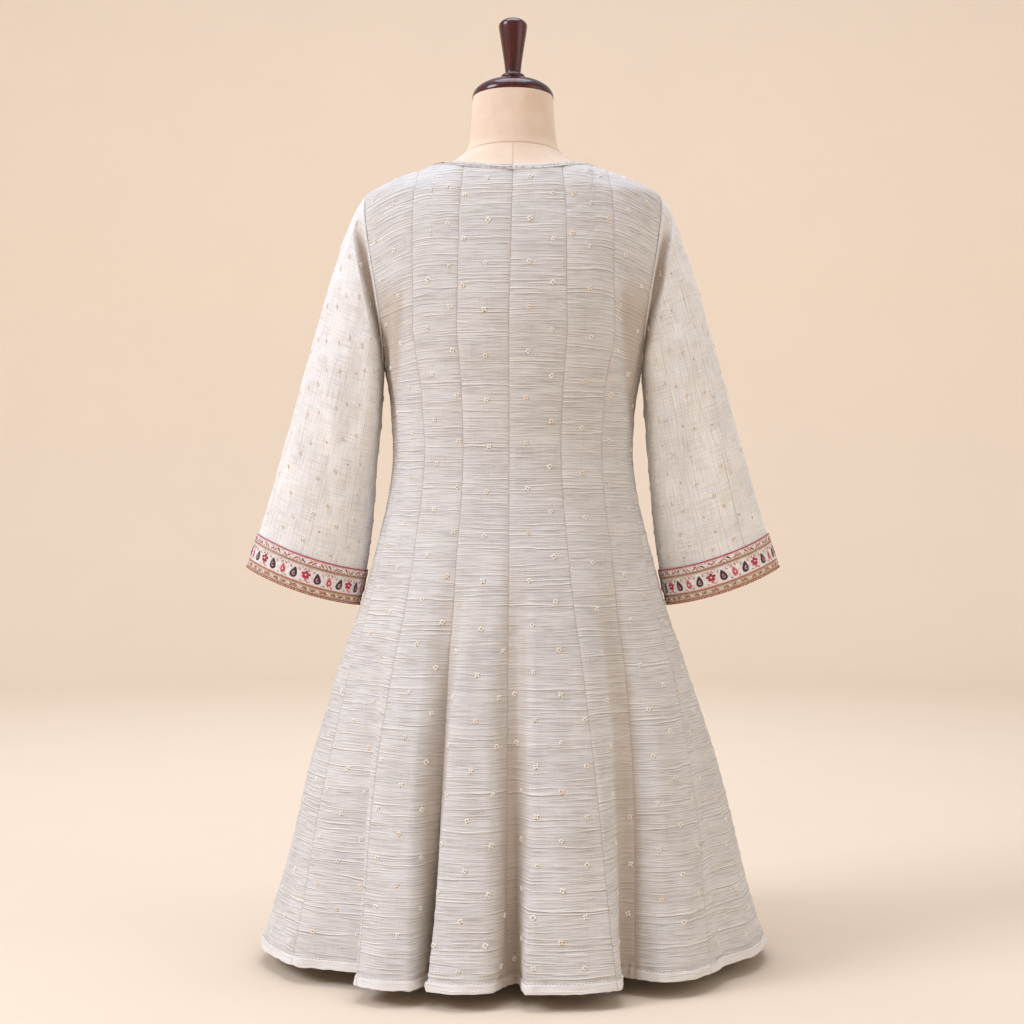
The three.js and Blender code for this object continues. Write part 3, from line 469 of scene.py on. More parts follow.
@lru_cache(maxsize=None)
def panel_cloths():
    """The 16 panels' cloth, with their relief."""
    grids, painted_shades = [], []
    for i, start in enumerate(SEAMS):
        end = SEAMS[(i + 1) % len(SEAMS)]
        wrap = 360 if i + 1 == len(SEAMS) else 0
        hem = evenly(hem_points, start[1], end[1] + wrap, ACROSS_SHARES)
        body = lerp(start[0], end[0] + wrap, ACROSS_SHARES)
        fold = fold_at(hem)
        z = np.concatenate([
            np.linspace(HEM_Z, HEM_BAND_Z, HEM_ROWS)[:-1],
            np.linspace(HEM_BAND_Z, CHEST_Z, SKIRT_ROWS - HEM_ROWS + 1),
        ])[:, None]
        from_side = np.abs(np.abs(body - 180) - 90)
        armpit_z = np.minimum(armhole_foot_z(np.minimum(from_side, ARMHOLE_HALF_ANGLE)), YOKE_Z)
        under_arm = start[2] is None or end[2] is None
        top_z = armpit_z if under_arm else np.full(len(body), YOKE_Z)
        z_above = lerp(CHEST_Z, top_z[None, :], (np.arange(1, ARMPIT_ROWS + 1) / ARMPIT_ROWS)[:, None])
        rows = [lower_points(body, hem, fold, z + 0 * body), lower_points(body, hem, fold, z_above)]
        if not under_arm:
            feet = rows[1][-1]
            yoke = [
                yoke_points(body[c], feet[c], column_top(start, end, body[c], ACROSS_SHARES[c]), YOKE_ROWS)
                for c in range(len(body))
            ]
            rows.append(np.stack(yoke, axis=1))
        grids.append(np.concatenate(rows))
        painted_shades.append(painted_shade_share(grids[-1], hem))
    outs = [grid_normals(g) for g in grids]
    for i in range(len(grids)):
        j = (i + 1) % len(grids)
        shared = min(len(grids[i]), len(grids[j]))
        common = unit(outs[i][:shared, -1] + outs[j][:shared, 0])
        outs[i][:shared, -1] = common
        outs[j][:shared, 0] = common
    made = []
    for i, (grid, out) in enumerate(zip(grids, outs)):
        at_shoulder = np.abs(grid[-1, :, 1]) < SEAM_GAP
        if at_shoulder.any():
            level = grid[-1].copy()
            level[:, 1] = 0
            out[-1] = np.where(at_shoulder[:, None], outwards(level), out[-1])
        made.append(with_relief(i, grid, out))
        # Each point's share of painted shade, in the skirt's folds and beside the sleeve
        made[-1].deep = painted_shades[i]
    return made


def with_relief(index, grid, out):
    """A panel's cloth, a little proud between its seams, with puckers, creases and a turned hem."""
    steps = np.linalg.norm(np.diff(grid, axis=1), axis=2)
    across = np.concatenate([np.zeros((len(grid), 1)), np.cumsum(steps, axis=1)], axis=1)
    width = across[:, -1:]
    across = across - width / 2
    climbs = np.linalg.norm(np.diff(grid, axis=0), axis=2)
    lengths = np.concatenate([np.zeros((1, grid.shape[1])), np.cumsum(climbs, axis=0)])
    up = lengths.mean(axis=1, keepdims=True) + 0 * lengths
    from_seam = width / 2 - np.abs(across)
    lift = PANEL_CROWN * (1 - np.exp(-from_seam / CROWN_REACH)) - SEAM_SINK
    waves = ripples(100 + index, across * 0.25, up, 40, 13)
    lift = lift + 0.42 * waves * np.exp(-from_seam / 7.0) * smooth(from_seam / 1.5)
    skirt = smooth((620 - grid[..., 2]) / 300)
    loose = (0.5 + 1.5 * skirt) * 0.55 * ripples(200 + index, across, up, 90, 260)
    loose = loose + 0.25 * ripples(300 + index, across, up, 70, 17)
    crinkle = ripples(400 + index, across, up, 15, 22) * smooth((70 - up) / 60)
    puckers = ripples(700 + index, across, up, 7.5, 60) * np.exp(-(((up - 9) / 9) ** 2))
    loose = loose + 0.6 * crinkle + puckers
    lift = lift + loose * smooth(from_seam / 9) + creased(grid, BODY_CREASES)
    hem = smooth((HEM_TURN - up) / 2.0) * smooth((up + 2.5) / 3.5)
    lift = lift + HEM_THICK * hem - np.exp(-(((up - GROOVE_UP) / GROOVE_WIDTH) ** 2))
    points = grid + out * lift[..., None]
    for c, towards in ((0, 1), (-1, -2)):
        inwards = grid[:, towards] - grid[:, c]
        inwards = unit(inwards - out[:, c] * (inwards * out[:, c]).sum(-1, keepdims=True))
        points[:, c] += inwards * SEAM_EASE
    uneven = ripples(800 + index, across, 0 * up, 9, 60) + ripples(900 + index, across, 0 * up, 24, 60)
    points[..., 2] += 0.4 * uneven * smooth((11 - up) / 9) * smooth(from_seam / 6)
    cloth = Cloth(points, unit(grid_normals(points) + out), across, up)
    cloth.from_seam = from_seam
    beside = np.clip((np.abs(grid[..., 0]) - 108) / 60, 0, 1.2) ** 1.5
    own = np.maximum(lengths - lengths[SKIRT_ROWS - 1], 0)
    cloth.sag = 16 * beside * smooth((grid[..., 2] - 690) / 120) + own - own.mean(axis=1, keepdims=True)
    cloth.cut = (float(steps.sum(1).max()), float(lengths.max()), float((steps[:-1] * climbs[:, :-1]).sum()))
    return cloth


# Sleeves

def around(table, column, angle):
    """A table's column at some angles round the armhole, the same before and behind."""
    a = np.abs(np.where(angle > 180, 360 - angle, angle))
    stops, values = table[:, 0], table[:, column]
    i = np.clip(np.searchsorted(stops, a, side="left") - 1, 0, len(stops) - 2)
    return lerp(values[i], values[i + 1], smooth((a - stops[i]) / (stops[i + 1] - stops[i])))


def sleeve_points(along, angle):
    """The right sleeve: along is 0 at the armhole and 1 at the cuff, angle is 0 on top and 90 at the back."""
    along, angle = np.broadcast_arrays(np.asarray(along, float), np.asarray(angle, float))
    a = np.radians(angle)
    side = np.where(np.sin(a) >= 0, -1.0, 1.0)
    z = ARMHOLE_Z + ARMHOLE_HALF_HEIGHT * np.cos(a)
    start = section_points(BODY_SECTIONS, 90 + side * armhole_angle(z), z)
    middle, half = (CUFF_OUTER + CUFF_INNER) / 2, (CUFF_OUTER - CUFF_INNER) / 2
    down = unit(np.array([half[2], 0, -half[0]]))
    end = middle + half * np.cos(a)[..., None]
    end[..., 1] = -CUFF_HALF_DEPTH * np.sin(a)
    end = end + down * (CUFF_SAG * np.sin(a) ** 2)[..., None]
    x, y, rise, length = (around(SLEEVE_STARTS, column, angle) for column in (1, 2, 3, 4))
    leave = stacked(x, -side * y, rise) * length[..., None]
    arrive = down * around(SLEEVE_ENDS, 1, angle)[..., None]
    t = along[..., None]
    point = (
        start * (2 * t**3 - 3 * t**2 + 1) + leave * (t**3 - 2 * t**2 + t)
        + end * (3 * t**2 - 2 * t**3) + arrive * (t**3 - t**2)
    )
    point[..., 1] -= side * sleeve_dip(point, along)
    return point


def sleeve_dip(p, along):
    """How far the cloth dips between the armhole and the edge of the sleeve's roll."""
    down = (DIP_TOP[1] - p[..., 2]) / (DIP_TOP[1] - DIP_FOOT[1])
    inside = smooth((lerp(DIP_TOP[0], DIP_FOOT[0], down) - p[..., 0]) / DIP_EDGE)
    deep = smooth((DIP_TOP[1] + DIP_FADE - p[..., 2]) / (2 * DIP_FADE)) * smooth((1.15 - down) * 4)
    return np.minimum(DIP_DEPTH, np.abs(p[..., 1]) * 0.6) * inside * deep * smooth(along / 0.07)


SLEEVE_COLUMNS, SLEEVE_ROWS = 144, 116


@lru_cache(maxsize=None)
def sleeve_cloth(side):
    """A sleeve's cloth from the cuff up. The place round it is measured at the cuff."""
    along = np.linspace(1, 0, SLEEVE_ROWS)[:, None] + np.zeros(SLEEVE_COLUMNS)
    angle = 540 - np.arange(SLEEVE_COLUMNS) * 360 / SLEEVE_COLUMNS
    grid = sleeve_points(along, angle % 360)
    head = grid[-1] - grid[-1].mean(0)
    share = smooth((0.02 - along) / 0.02)[..., None]
    grid = grid - unit(head) * SLEEVE_HEAD_INSET * share
    out = grid_normals(grid, closed=True)
    # The share of painted shade in the sleeve's dip beside the armhole
    deep = smooth(1.4 * sleeve_dip(grid, along) / DIP_DEPTH)
    cuff = np.linalg.norm(np.roll(grid[0], -1, axis=0) - grid[0], axis=1).sum()
    across = np.broadcast_to(np.arange(SLEEVE_COLUMNS) / SLEEVE_COLUMNS * cuff, along.shape).copy()
    climbs = np.linalg.norm(np.diff(grid, axis=0), axis=2)
    up = np.concatenate([np.zeros((1, SLEEVE_COLUMNS)), np.cumsum(climbs, axis=0)])
    turns = np.linalg.norm(np.roll(grid, -1, axis=1) - grid, axis=2)
    seed = 500 if side == "right" else 600
    a = np.radians(angle)[None, :] + 0 * along
    lift = 0.55 * ripples(seed, np.cos(a) * 60, up, 60, 150)
    lift = lift + 0.3 * ripples(seed + 1, np.sin(a) * 60, up, 50, 45)
    lift = lift * smooth(up / 90) * smooth(along / 0.06)
    lift = lift + creased(grid, SLEEVE_CREASES[side]) * smooth(up / 70)
    head_gather = 0.5 * np.sin(a * 26 + 2 * np.sin(a * 3)) * np.exp(-along / 0.02) * smooth(along / 0.01)
    grid = grid + out * (lift + head_gather)[..., None]
    if side == "left":
        grid = (grid * [-1, 1, 1])[:, ::-1]
        across, up, deep = cuff - across[:, ::-1], up[:, ::-1], deep[:, ::-1]
    cloth = Cloth(grid, grid_normals(grid, closed=True), across, up, closed=True)
    cloth.cuff, cloth.deep, cloth.turns = float(cuff), deep, turns.sum(1)
    cloth.cut = (float(turns.sum(1).max()), float(up.max()), float((turns[:-1] * climbs).sum()))
    return cloth


# Making meshes

def mesh_object(name, points, faces, materials, faces_of=None, uv=None, values=None):
    """A smooth mesh object from points in mm, faces, materials, each face's material, each point's place on
    the flat cloth in mm, and its named values."""
    mesh = bpy.data.meshes.new(name)
    polygons = faces if isinstance(faces, list) else faces.tolist()
    mesh.from_pydata((np.asarray(points) * MM + SHIFT).tolist(), [], polygons)
    for material in materials:
        mesh.materials.append(material)
    if faces_of is not None:
        mesh.polygons.foreach_set("material_index", np.asarray(faces_of, dtype=np.int32))
    if uv is not None:
        layer = mesh.uv_layers.new(name="cloth")
        corners = np.empty(len(mesh.loops), dtype=np.int32)
        mesh.loops.foreach_get("vertex_index", corners)
        layer.data.foreach_set("uv", (np.asarray(uv)[corners] * MM).astype(np.float32).ravel())
    for key, each in (values or {}).items():
        layer = mesh.attributes.new(key, "FLOAT", "POINT")
        layer.data.foreach_set("value", np.asarray(each, dtype=np.float32).ravel())
    mesh.validate()
    mesh.shade_smooth()
    mesh.set_sharp_from_angle(angle=math.radians(65))
    made = bpy.data.objects.new(name, mesh)
    bpy.context.scene.collection.objects.link(made)
    return made


def grid_faces(rows, columns, closed, offset=0):
    """The quads of a grid of points whose first number is offset, closed round its columns or open."""
    c = np.arange(columns if closed else columns - 1)
    r = np.arange(rows - 1)[:, None]
    a, b = r * columns + c, r * columns + (c + 1) % columns
    return np.stack([a, b, b + columns, a + columns], axis=-1).reshape(-1, 4) + offset


def wall_mesh(name, cloth, thickness, material, uv_shift, values=None):
    """A closed wall of cloth under the cloth's face, cut from uv_shift, in mm, of the woven length."""
    rows, columns = cloth.points.shape[:2]
    inner = cloth.points - cloth.out * thickness
    points = np.concatenate([cloth.points.reshape(-1, 3), inner.reshape(-1, 3)])
    count = rows * columns
    face = grid_faces(rows, columns, cloth.closed)
    faces = [face, face[:, ::-1] + count]
    c = np.arange(columns if cloth.closed else columns - 1)
    n = (c + 1) % columns
    last = (rows - 1) * columns
    faces.append(np.stack([c, c + count, n + count, n], axis=-1))
    faces.append(np.stack([last + c, last + n, last + n + count, last + c + count], axis=-1))
    if not cloth.closed:
        r = np.arange(rows - 1)
        a, b = r * columns, (r + 1) * columns
        faces.append(np.stack([a, b, b + count, a + count], axis=-1))
        a, b = a + columns - 1, b + columns - 1
        faces.append(np.stack([a, a + count, b + count, b], axis=-1))
    uv = np.stack([cloth.across + uv_shift[0], cloth.up + cloth.sag + uv_shift[1]], axis=-1).reshape(-1, 2)
    uv = np.concatenate([uv, uv])
    doubled = {key: np.concatenate([each.ravel()] * 2) for key, each in (values or {}).items()}
    return mesh_object(name, points, np.concatenate(faces), [material], uv=uv, values=doubled)


def lathed(name, profile, segments, material, place=None):
    """A turned piece from its radius at each height, closed on its axis."""
    a = np.arange(segments) * 2 * np.pi / segments
    rings = [stacked(r * np.cos(a), r * np.sin(a), z) for r, z in profile[1:-1]]
    points = np.concatenate([[(0, 0, profile[0][1])], *rings, [(0, 0, profile[-1][1])]])
    rows = len(rings)
    faces = grid_faces(rows, segments, True, 1).tolist()
    end = 1 + (rows - 1) * segments
    for k in range(segments):
        n = (k + 1) % segments
        faces.append([0, 1 + n, 1 + k])
        faces.append([len(points) - 1, end + k, end + n])
    if place is not None:
        points = place(points)
    uv = stacked(np.arctan2(points[:, 1], points[:, 0]) * 20, points[:, 2], 0)[:, :2]
    return mesh_object(name, points, faces, [material], uv=uv)


def rounded(profile):
    """A profile with its corners eased by cutting them twice."""
    line = np.array(profile, float)
    for _ in range(2):
        cut = [line[0]]
        for a, b in zip(line[:-1], line[1:]):
            cut += [a * 0.75 + b * 0.25, a * 0.25 + b * 0.75]
        line = np.array(cut + [line[-1]])
    line[-1, 0] = 0
    return line


# Embroidery: little raised shapes of thread, drawn on the flat cloth and laid on it together

def pad(x, y, half_length, half_width, angle, height, colour, sides=6, point=0.0):
    """A raised satin-stitched shape: points on the flat cloth with their height, faces and a colour."""
    t = np.arange(sides) * 2 * np.pi / sides
    taper = 1 - point * (0.5 + 0.5 * np.cos(t))
    ring = np.stack([half_length * np.cos(t), half_width * np.sin(t) * taper], axis=-1)
    turn = np.array([[math.cos(angle), math.sin(angle)], [-math.sin(angle), math.cos(angle)]])
    flat = np.concatenate([ring, ring * 0.72, [[0, 0]]]) @ turn + [x, y]
    z = np.concatenate([np.zeros(sides), np.full(sides, height * 0.8), [height]])
    k = np.arange(sides)
    n = (k + 1) % sides
    faces = [[int(a), int(b), int(b) + sides, int(a) + sides] for a, b in zip(k, n)]
    faces += [[int(a) + sides, int(b) + sides, 2 * sides] for a, b in zip(k, n)]
    faces.append([int(a) for a in k[::-1]])
    return np.column_stack([flat, z]), faces, colour


def strand(line, half_width, height, colour):
    """A run of thread along a line on the flat cloth, half round on top."""
    line = np.array(line, float)
    run = unit(np.gradient(line, axis=0))
    side = np.stack([-run[:, 1], run[:, 0]], axis=-1)
    taper = np.ones(len(line))
    taper[[0, -1]] = 0.5
    shape = ((1, 0), (0.7, 0.8), (0, 1), (-0.7, 0.8), (-1, 0))
    rings = [
        np.column_stack([line + side * (half_width * s * taper)[:, None], np.full(len(line), height * h)])
        for s, h in shape
    ]
    points = np.stack(rings, axis=1).reshape(-1, 3)
    n = len(shape)
    faces = []
    for i in range(len(line) - 1):
        for k in range(n):
            a, b = i * n + k, i * n + (k + 1) % n
            faces.append([a, a + n, b + n, b])
    faces.append(list(range(n)))
    faces.append([(len(line) - 1) * n + k for k in reversed(range(n))])
    return points, faces, colour


EMBROIDERY_LIFT = 0.05


def embroidery(name, cloth, shapes, colours):
    """Lays drawn shapes on a cloth and joins them into one piece."""
    points, faces, faces_of, count = [], [], [], 0
    for drawn, shape_faces, colour in shapes:
        points.append(drawn)
        faces += [[i + count for i in face] for face in shape_faces]
        faces_of += [colour] * len(shape_faces)
        count += len(drawn)
    flat = np.concatenate(points)
    on, out = cloth.spots(flat[:, 0], flat[:, 1])
    raised = on + out * (flat[:, 2:] + EMBROIDERY_LIFT)
    return mesh_object(name, raised, faces, colours, faces_of, uv=flat[:, :2])


# Materials

PLUS, MINUS, TIMES, OVER = ({"operation": name} for name in ("ADD", "SUBTRACT", "MULTIPLY", "DIVIDE"))
SOFTLY, COLOURS = {"interpolation_type": "SMOOTHSTEP"}, {"data_type": "RGBA"}


def add(tree, kind, inputs=(), out=0, **settings):
    """Adds a node with its settings and returns one of its outputs. Each input, in order or by name, takes a
    value, or an output that is linked to it."""
    made = tree.nodes.new("ShaderNode" + kind)
    for key, value in settings.items():
        setattr(made, key, value)
    for key, value in inputs.items() if isinstance(inputs, dict) else enumerate(inputs):
        if isinstance(value, bpy.types.NodeSocket):
            tree.links.new(value, made.inputs[key])
        else:
            made.inputs[key].default_value = value
    return made.outputs[out] if made.outputs else None


def new_material(name):
    """An empty node material and its tree."""
    material = bpy.data.materials.new(name)
    material.use_nodes = True
    material.node_tree.nodes.clear()
    return material, material.node_tree


def surfaced(material, inputs, relief=None, strength=0.0, distance=MM):
    """The material with a surface made from these inputs and a relief that is distance high, in metres."""
    tree = material.node_tree
    if relief is not None:
        inputs["Normal"] = add(tree, "Bump", {"Strength": strength, "Distance": distance, "Height": relief})
    add(tree, "OutputMaterial", [add(tree, "BsdfPrincipled", inputs)])
    return material


def mottled(tree, pattern, low, high, first, second, most=1.0):
    """The first colour, which turns to the second where a pattern rises from low to high."""
    share = add(tree, "MapRange", (pattern, low, high, 0.0, most), **SOFTLY)
    return add(tree, "Mix", {0: share, 6: first, 7: second}, 2, **COLOURS)


def tinted(tree, ground, pattern, most, colour):
    """The ground, which takes up to a share of a colour with a pattern."""
    share = add(tree, "Math", (pattern, most), **TIMES)
    return add(tree, "Mix", {0: share, 6: ground, 7: rgba(colour)}, 2, **COLOURS)


def cloth_places(tree):
    """The place on the flat cloth in mm: across, up."""
    place = add(tree, "SeparateXYZ", [add(tree, "UVMap", uv_map="cloth")])
    return [add(tree, "Math", (part, 1 / MM), **TIMES) for part in place.node.outputs[:2]]


def uneven(tree, across, up, length, height, detail=2.0, shift=0.0):
    """A pattern drawn out on the flat cloth: its size across and up in mm."""
    at = add(tree, "CombineXYZ", (
        add(tree, "Math", (across, length), **OVER), add(tree, "Math", (up, height), **OVER), shift,
    ))
    return add(tree, "TexNoise", {"Vector": at, "Scale": 1.0, "Detail": detail, "Roughness": 0.55})


def grained(tree, scale, detail, roughness=0.5):
    """Grain drawn out up a turned piece: how often it changes in a metre, across and up."""
    place = add(tree, "TexCoord", out="Object")
    at = add(tree, "VectorMath", (place, (scale[0], scale[0], scale[1])), **TIMES)
    return add(tree, "TexNoise", {"Vector": at, "Scale": 1.0, "Detail": detail, "Roughness": roughness})


def ribs(tree, across, up, spacing, size, wander, length, shift):
    """Raised threads that run across the cloth, unevenly spaced and lost in places: their height, up to 1,
    and the shadow under them. Their half width is size, and they wander up and down, in mm."""
    slow = add(tree, "Math", (uneven(tree, across, up, 85, 60, 1.0, shift), 0.5), **MINUS)
    quick = add(tree, "Math", (uneven(tree, across, up, 20, 14, 1.0, shift + 3.0), 0.5), **MINUS)
    both = add(tree, "Math", (slow, add(tree, "Math", (quick, 0.14), **TIMES)), **PLUS)
    drifted = add(tree, "Math", (up, add(tree, "Math", (both, wander), **TIMES)), **PLUS)
    at = add(tree, "Math", (drifted, spacing), **OVER)
    cells = {"W": at, "Scale": 1.0, "Randomness": 0.92}
    nearest = add(tree, "TexVoronoi", cells, "W", voronoi_dimensions="1D")
    above = add(tree, "Math", (add(tree, "Math", (at, nearest), **MINUS), spacing), **TIMES)
    own = add(tree, "SeparateColor", [nearest.node.outputs["Color"]])
    along = add(tree, "CombineXYZ", (
        add(tree, "Math", (across, length), **OVER), add(tree, "Math", (own, 40.0), **TIMES), shift,
    ))
    kept = add(tree, "TexNoise", {"Vector": along, "Scale": 1.0, "Detail": 2.0})
    shown = add(tree, "MapRange", (kept, 0.4, 0.6), **SOFTLY)
    strength = add(tree, "Math", (shown, add(tree, "MapRange", (own, 0.0, 1.0, 0.25), **SOFTLY)), **TIMES)
    made = []
    for foot, full, full_above, end in ((-1, -0.1, 0.4, 2.4), (-3.6, -1.2, -1, -0.4)):
        rising = add(tree, "MapRange", (above, foot * size, full * size), **SOFTLY)
        falling = add(tree, "MapRange", (above, end * size, full_above * size), **SOFTLY)
        made.append(add(tree, "Math", (add(tree, "Math", (rising, falling), **TIMES), strength), **TIMES))
    return made


def slub_cloth(colours, sleeve=False):
    """Cotton and silk slub, handloomed: a matt cloth whose uneven weft stands on it in crinkled ribs, with
    painted highlights on their tops and painted shadows under them. The sleeves' cloth is crosshatched by
    thin threads instead. Deep in the folds and beside the sleeves its colour takes a painted shade."""
    material, tree = new_material("handloomed_slub_sleeve" if sleeve else "handloomed_slub_panel")
    across, up = cloth_places(tree)
    if sleeve:
        across, up = up, across
    bold, bold_shade = ribs(tree, across, up, 13.0 if sleeve else 6.4, 0.55, 9.0, 130 if sleeve else 80, 1.0)
    small, small_shade = ribs(tree, across, up, 3.0, 0.45, 7.0, 40, 7.0)
    single, single_shade = ribs(tree, across, up, 33.0, 0.7, 11.0, 200, 13.0)
    streaks = uneven(tree, across, up, 30, 1.4, 2.0, 7.0)
    cross = uneven(tree, across, up, 1.4, 30, 2.0, 9.0)
    weave = uneven(tree, across, up, 1.7, 1.3, 1.0, 11.0)
    cloudy = uneven(tree, across, up, 60, 48, 3.0, 13.0)
    bands = uneven(tree, across, up, 120, 14, 1.0, 15.0)
    plain, shaded = (colours.sleeve, colours.cloth) if sleeve else (colours.cloth, colours.cloth_shade)
    ground = rgba(plain)
    for pattern, low, high, colour, most in (
        (cloudy, 0.3, 0.7, shaded, 0.5 if sleeve else 1.0),
        (streaks, 0.42, 0.7, colours.cloth_gap, 0.28 if sleeve else 0.5),
        (cross, 0.45, 0.72, colours.cloth_gap, 0.3 if sleeve else 0.16),
        (bands, 0.4, 0.7, colours.cloth_light, 0.3),
    ):
        ground = mottled(tree, pattern, low, high, ground, rgba(colour), most)
    # Painted shadows under the ribs, then painted highlights on their tops
    for pattern, most, colour in (
        (small_shade, 0.2 if sleeve else 0.75, colours.cloth_gap),
        (bold_shade, 0.42 if sleeve else 0.9, colours.cloth_gap),
        (single_shade, 0.4 if sleeve else 0.95, colours.cloth_gap),
        (small, 0.3 if sleeve else 0.75, colours.thread_light),
        (bold, 0.5 if sleeve else 1.0, colours.thread_light),
        (single, 0.6 if sleeve else 1.0, colours.thread_light),
    ):
        ground = tinted(tree, ground, pattern, most, colour)
    from_seam, turned, deep = (
        add(tree, "Attribute", out="Fac", attribute_name=name) for name in ("from_seam", "turned", "deep")
    )
    if not sleeve:
        # Lighter where the hem is turned
        ground = tinted(tree, ground, turned, 0.5, colours.thread_light)
        # Thread colour and painted shade along the seams, broken by the streaks
        near = add(tree, "MapRange", (from_seam, 1.1, 0.2, 0.0, 0.5), **SOFTLY)
        ground = tinted(
            tree, ground, near, add(tree, "MapRange", (streaks, 0.3, 0.6, 0.6), **SOFTLY), colours.seam_thread
        )
    # Painted shade: darker and warmer deep in the skirt's folds, in the hollows beside the sleeves and in the
    # sleeves' dip by the armhole
    ground = tinted(tree, ground, deep, 0.65, colours.painted_fold_shade)
    relief = add(tree, "Math", (bold, 0.22 if sleeve else 0.36), **TIMES)
    for pattern, share in (
        (single, 0.3 if sleeve else 0.48), (small, 0.1 if sleeve else 0.28), (weave, 0.14),
        (streaks, 0.3), (cross, 0.4 if sleeve else 0.14), (bold_shade, -0.12), (single_shade, -0.15),
    ):
        relief = add(tree, "Math", (relief, add(tree, "Math", (pattern, share), **TIMES)), **PLUS)
    return surfaced(material, {
        "Base Color": ground, "Roughness": add(tree, "MapRange", (weave, 0.3, 0.7, 0.72, 0.88), **SOFTLY),
        "Sheen Weight": 0.2, "Sheen Roughness": 0.5, "Specular IOR Level": 0.25,
    }, relief, 0.9)


def silk_thread(name, colour):
    """Twisted silk floss in satin stitch: a soft shine with fine ridges where the threads lie side by side,
    drawn 0.6 mm apart so that they show."""
    material, tree = new_material(name)
    ridges = uneven(tree, *cloth_places(tree), 0.6, 3.0, 1.0, 2.0)
    ground = mottled(tree, ridges, 0.35, 0.65, rgba(colour, 0.75), rgba(colour))
    inputs = {"Base Color": ground, "Roughness": 0.445, "Sheen Weight": 0.2}
    return surfaced(material, inputs, ridges, 0.7, 0.0004)


def zari_thread(name, colour):
    """Gilt wire wound on thread: metallic, broken up by its twist."""
    material, tree = new_material(name)
    twist = uneven(tree, *cloth_places(tree), 0.8, 0.8, 1.0, 4.0)
    ground = mottled(tree, twist, 0.35, 0.65, rgba(colour, 0.45), rgba(colour))
    inputs = {"Base Color": ground, "Metallic": 0.65, "Roughness": 0.4}
    return surfaced(material, inputs, twist, 0.8, 0.0003)


def border_ground(colours):
    """The border's plain-woven ground, whiter and tighter than the kurta's cloth."""
    material, tree = new_material("woven_border_ground")
    across, up = cloth_places(tree)
    threads = uneven(tree, across, up, 8, 1.1, 1.0, 1.0), uneven(tree, across, up, 1.1, 8, 1.0, 3.0)
    both = add(tree, "Math", (add(tree, "Math", threads, **PLUS), 0.5), **TIMES)
    ground = mottled(tree, both, 0.38, 0.6, rgba(colours.border_shade), rgba(colours.border_ground))
    inputs = {"Base Color": ground, "Roughness": 0.8, "Sheen Weight": 0.2}
    return surfaced(material, inputs, both, 0.8, 0.0006)


def jersey(colours):
    """Cotton jersey pulled tight over foam: smooth and matt, with knit ribs under 1 mm and darker seams."""
    material, tree = new_material("knitted_cotton_jersey")
    across, up = cloth_places(tree)
    at = [add(tree, "Math", (place, size), **OVER) for place, size in ((across, 9.0), (up, 40.0))]
    at = add(tree, "CombineXYZ", at)
    wave = {"Vector": at, "Scale": 1.0, "Distortion": 1.2, "Detail": 1.0, "Detail Scale": 2.0}
    knit = add(tree, "TexWave", wave, "Fac", bands_direction="X")
    cloudy = uneven(tree, across, up, 30, 30, 3.0, 2.0)
    ground = mottled(tree, cloudy, 0.3, 0.7, rgba(colours.jersey), rgba(colours.jersey_shade))
    seam = add(tree, "Attribute", out="Fac", attribute_name="seam")
    ground = tinted(tree, ground, seam, 0.7, colours.jersey_seam)
    fine = add(tree, "Math", (knit, 0.4), **TIMES), uneven(tree, across, up, 1.2, 1.2, 1.0, 5.0)
    inputs = {"Base Color": ground, "Roughness": 0.82, "Sheen Weight": 0.15}
    return surfaced(material, inputs, add(tree, "Math", fine, **PLUS), 0.35, 0.0004)


def varnished_wood(colours):
    """Turned hardwood, stained mahogany red and varnished: dark grain under a clear glossy coat."""
    material, tree = new_material("varnished_mahogany")
    grain = grained(tree, (260.0, 18.0), 4.0, 0.6)
    ground = mottled(tree, grain, 0.35, 0.7, rgba(colours.wood_dark), rgba(colours.wood))
    inputs = {
        "Base Color": ground, "Roughness": 0.34, "Specular IOR Level": 0.25,
        "Coat Weight": 0.7, "Coat Roughness": 0.05,
    }
    return surfaced(material, inputs, grain, 0.15, 0.0003)


def dark_metal(colours):
    """Steel tube with a dark stoved finish: half gloss, with faint drawing lines along the tube."""
    material, tree = new_material("dark_stoved_steel")
    gloss = add(tree, "MapRange", (grained(tree, (900.0, 25.0), 3.0), 0.3, 0.7, 0.3, 0.5), **SOFTLY)
    return surfaced(material, {"Base Color": rgba(colours.metal), "Metallic": 0.85, "Roughness": gloss})


def studio_paper(colours):
    """Matt studio paper, with the faintest mottling."""
    material, tree = new_material("matt_studio_paper")
    place = add(tree, "TexCoord", out="Object")
    mottle = add(tree, "TexNoise", {"Vector": place, "Scale": 3.0, "Detail": 3.0})
    ground = add(tree, "Mix", {0: mottle, 6: rgba(colours.floor), 7: rgba(colours.floor, 0.97)}, 2, **COLOURS)
    return surfaced(material, {"Base Color": ground, "Roughness": 0.95, "Specular IOR Level": 0.1})


@lru_cache(maxsize=None)
def finish(name):
    """The named finish, made once."""
    colours = bpy.context.scene.kurta_colours
    if name in ("panel", "sleeve"):
        return slub_cloth(colours, sleeve=name == "sleeve")
    makers = {
        "border_ground": border_ground, "jersey": jersey, "wood": varnished_wood, "metal": dark_metal,
        "floor": studio_paper,
    }
    if name in makers:
        return makers[name](colours)
    if name == "zari":
        return zari_thread("gilt_zari_thread", colours.zari)
    return silk_thread(f"{name.removesuffix('_thread')}_silk_thread", getattr(colours, name))


# What a user may change

def length_property(name, description, millimetres):
    return FloatProperty(
        name=name, description=description, default=millimetres * MM, min=0, unit="LENGTH",
        subtype="DISTANCE",
    )


def colour_property(name, description, hex_colour):
    return FloatVectorProperty(
        name=name, description=description, default=linear(hex_colour), size=3, min=0, max=1, subtype="COLOR"
    )


def power_property(name, description, watts):
    return FloatProperty(name=name, description=description, default=watts, min=0, subtype="POWER")


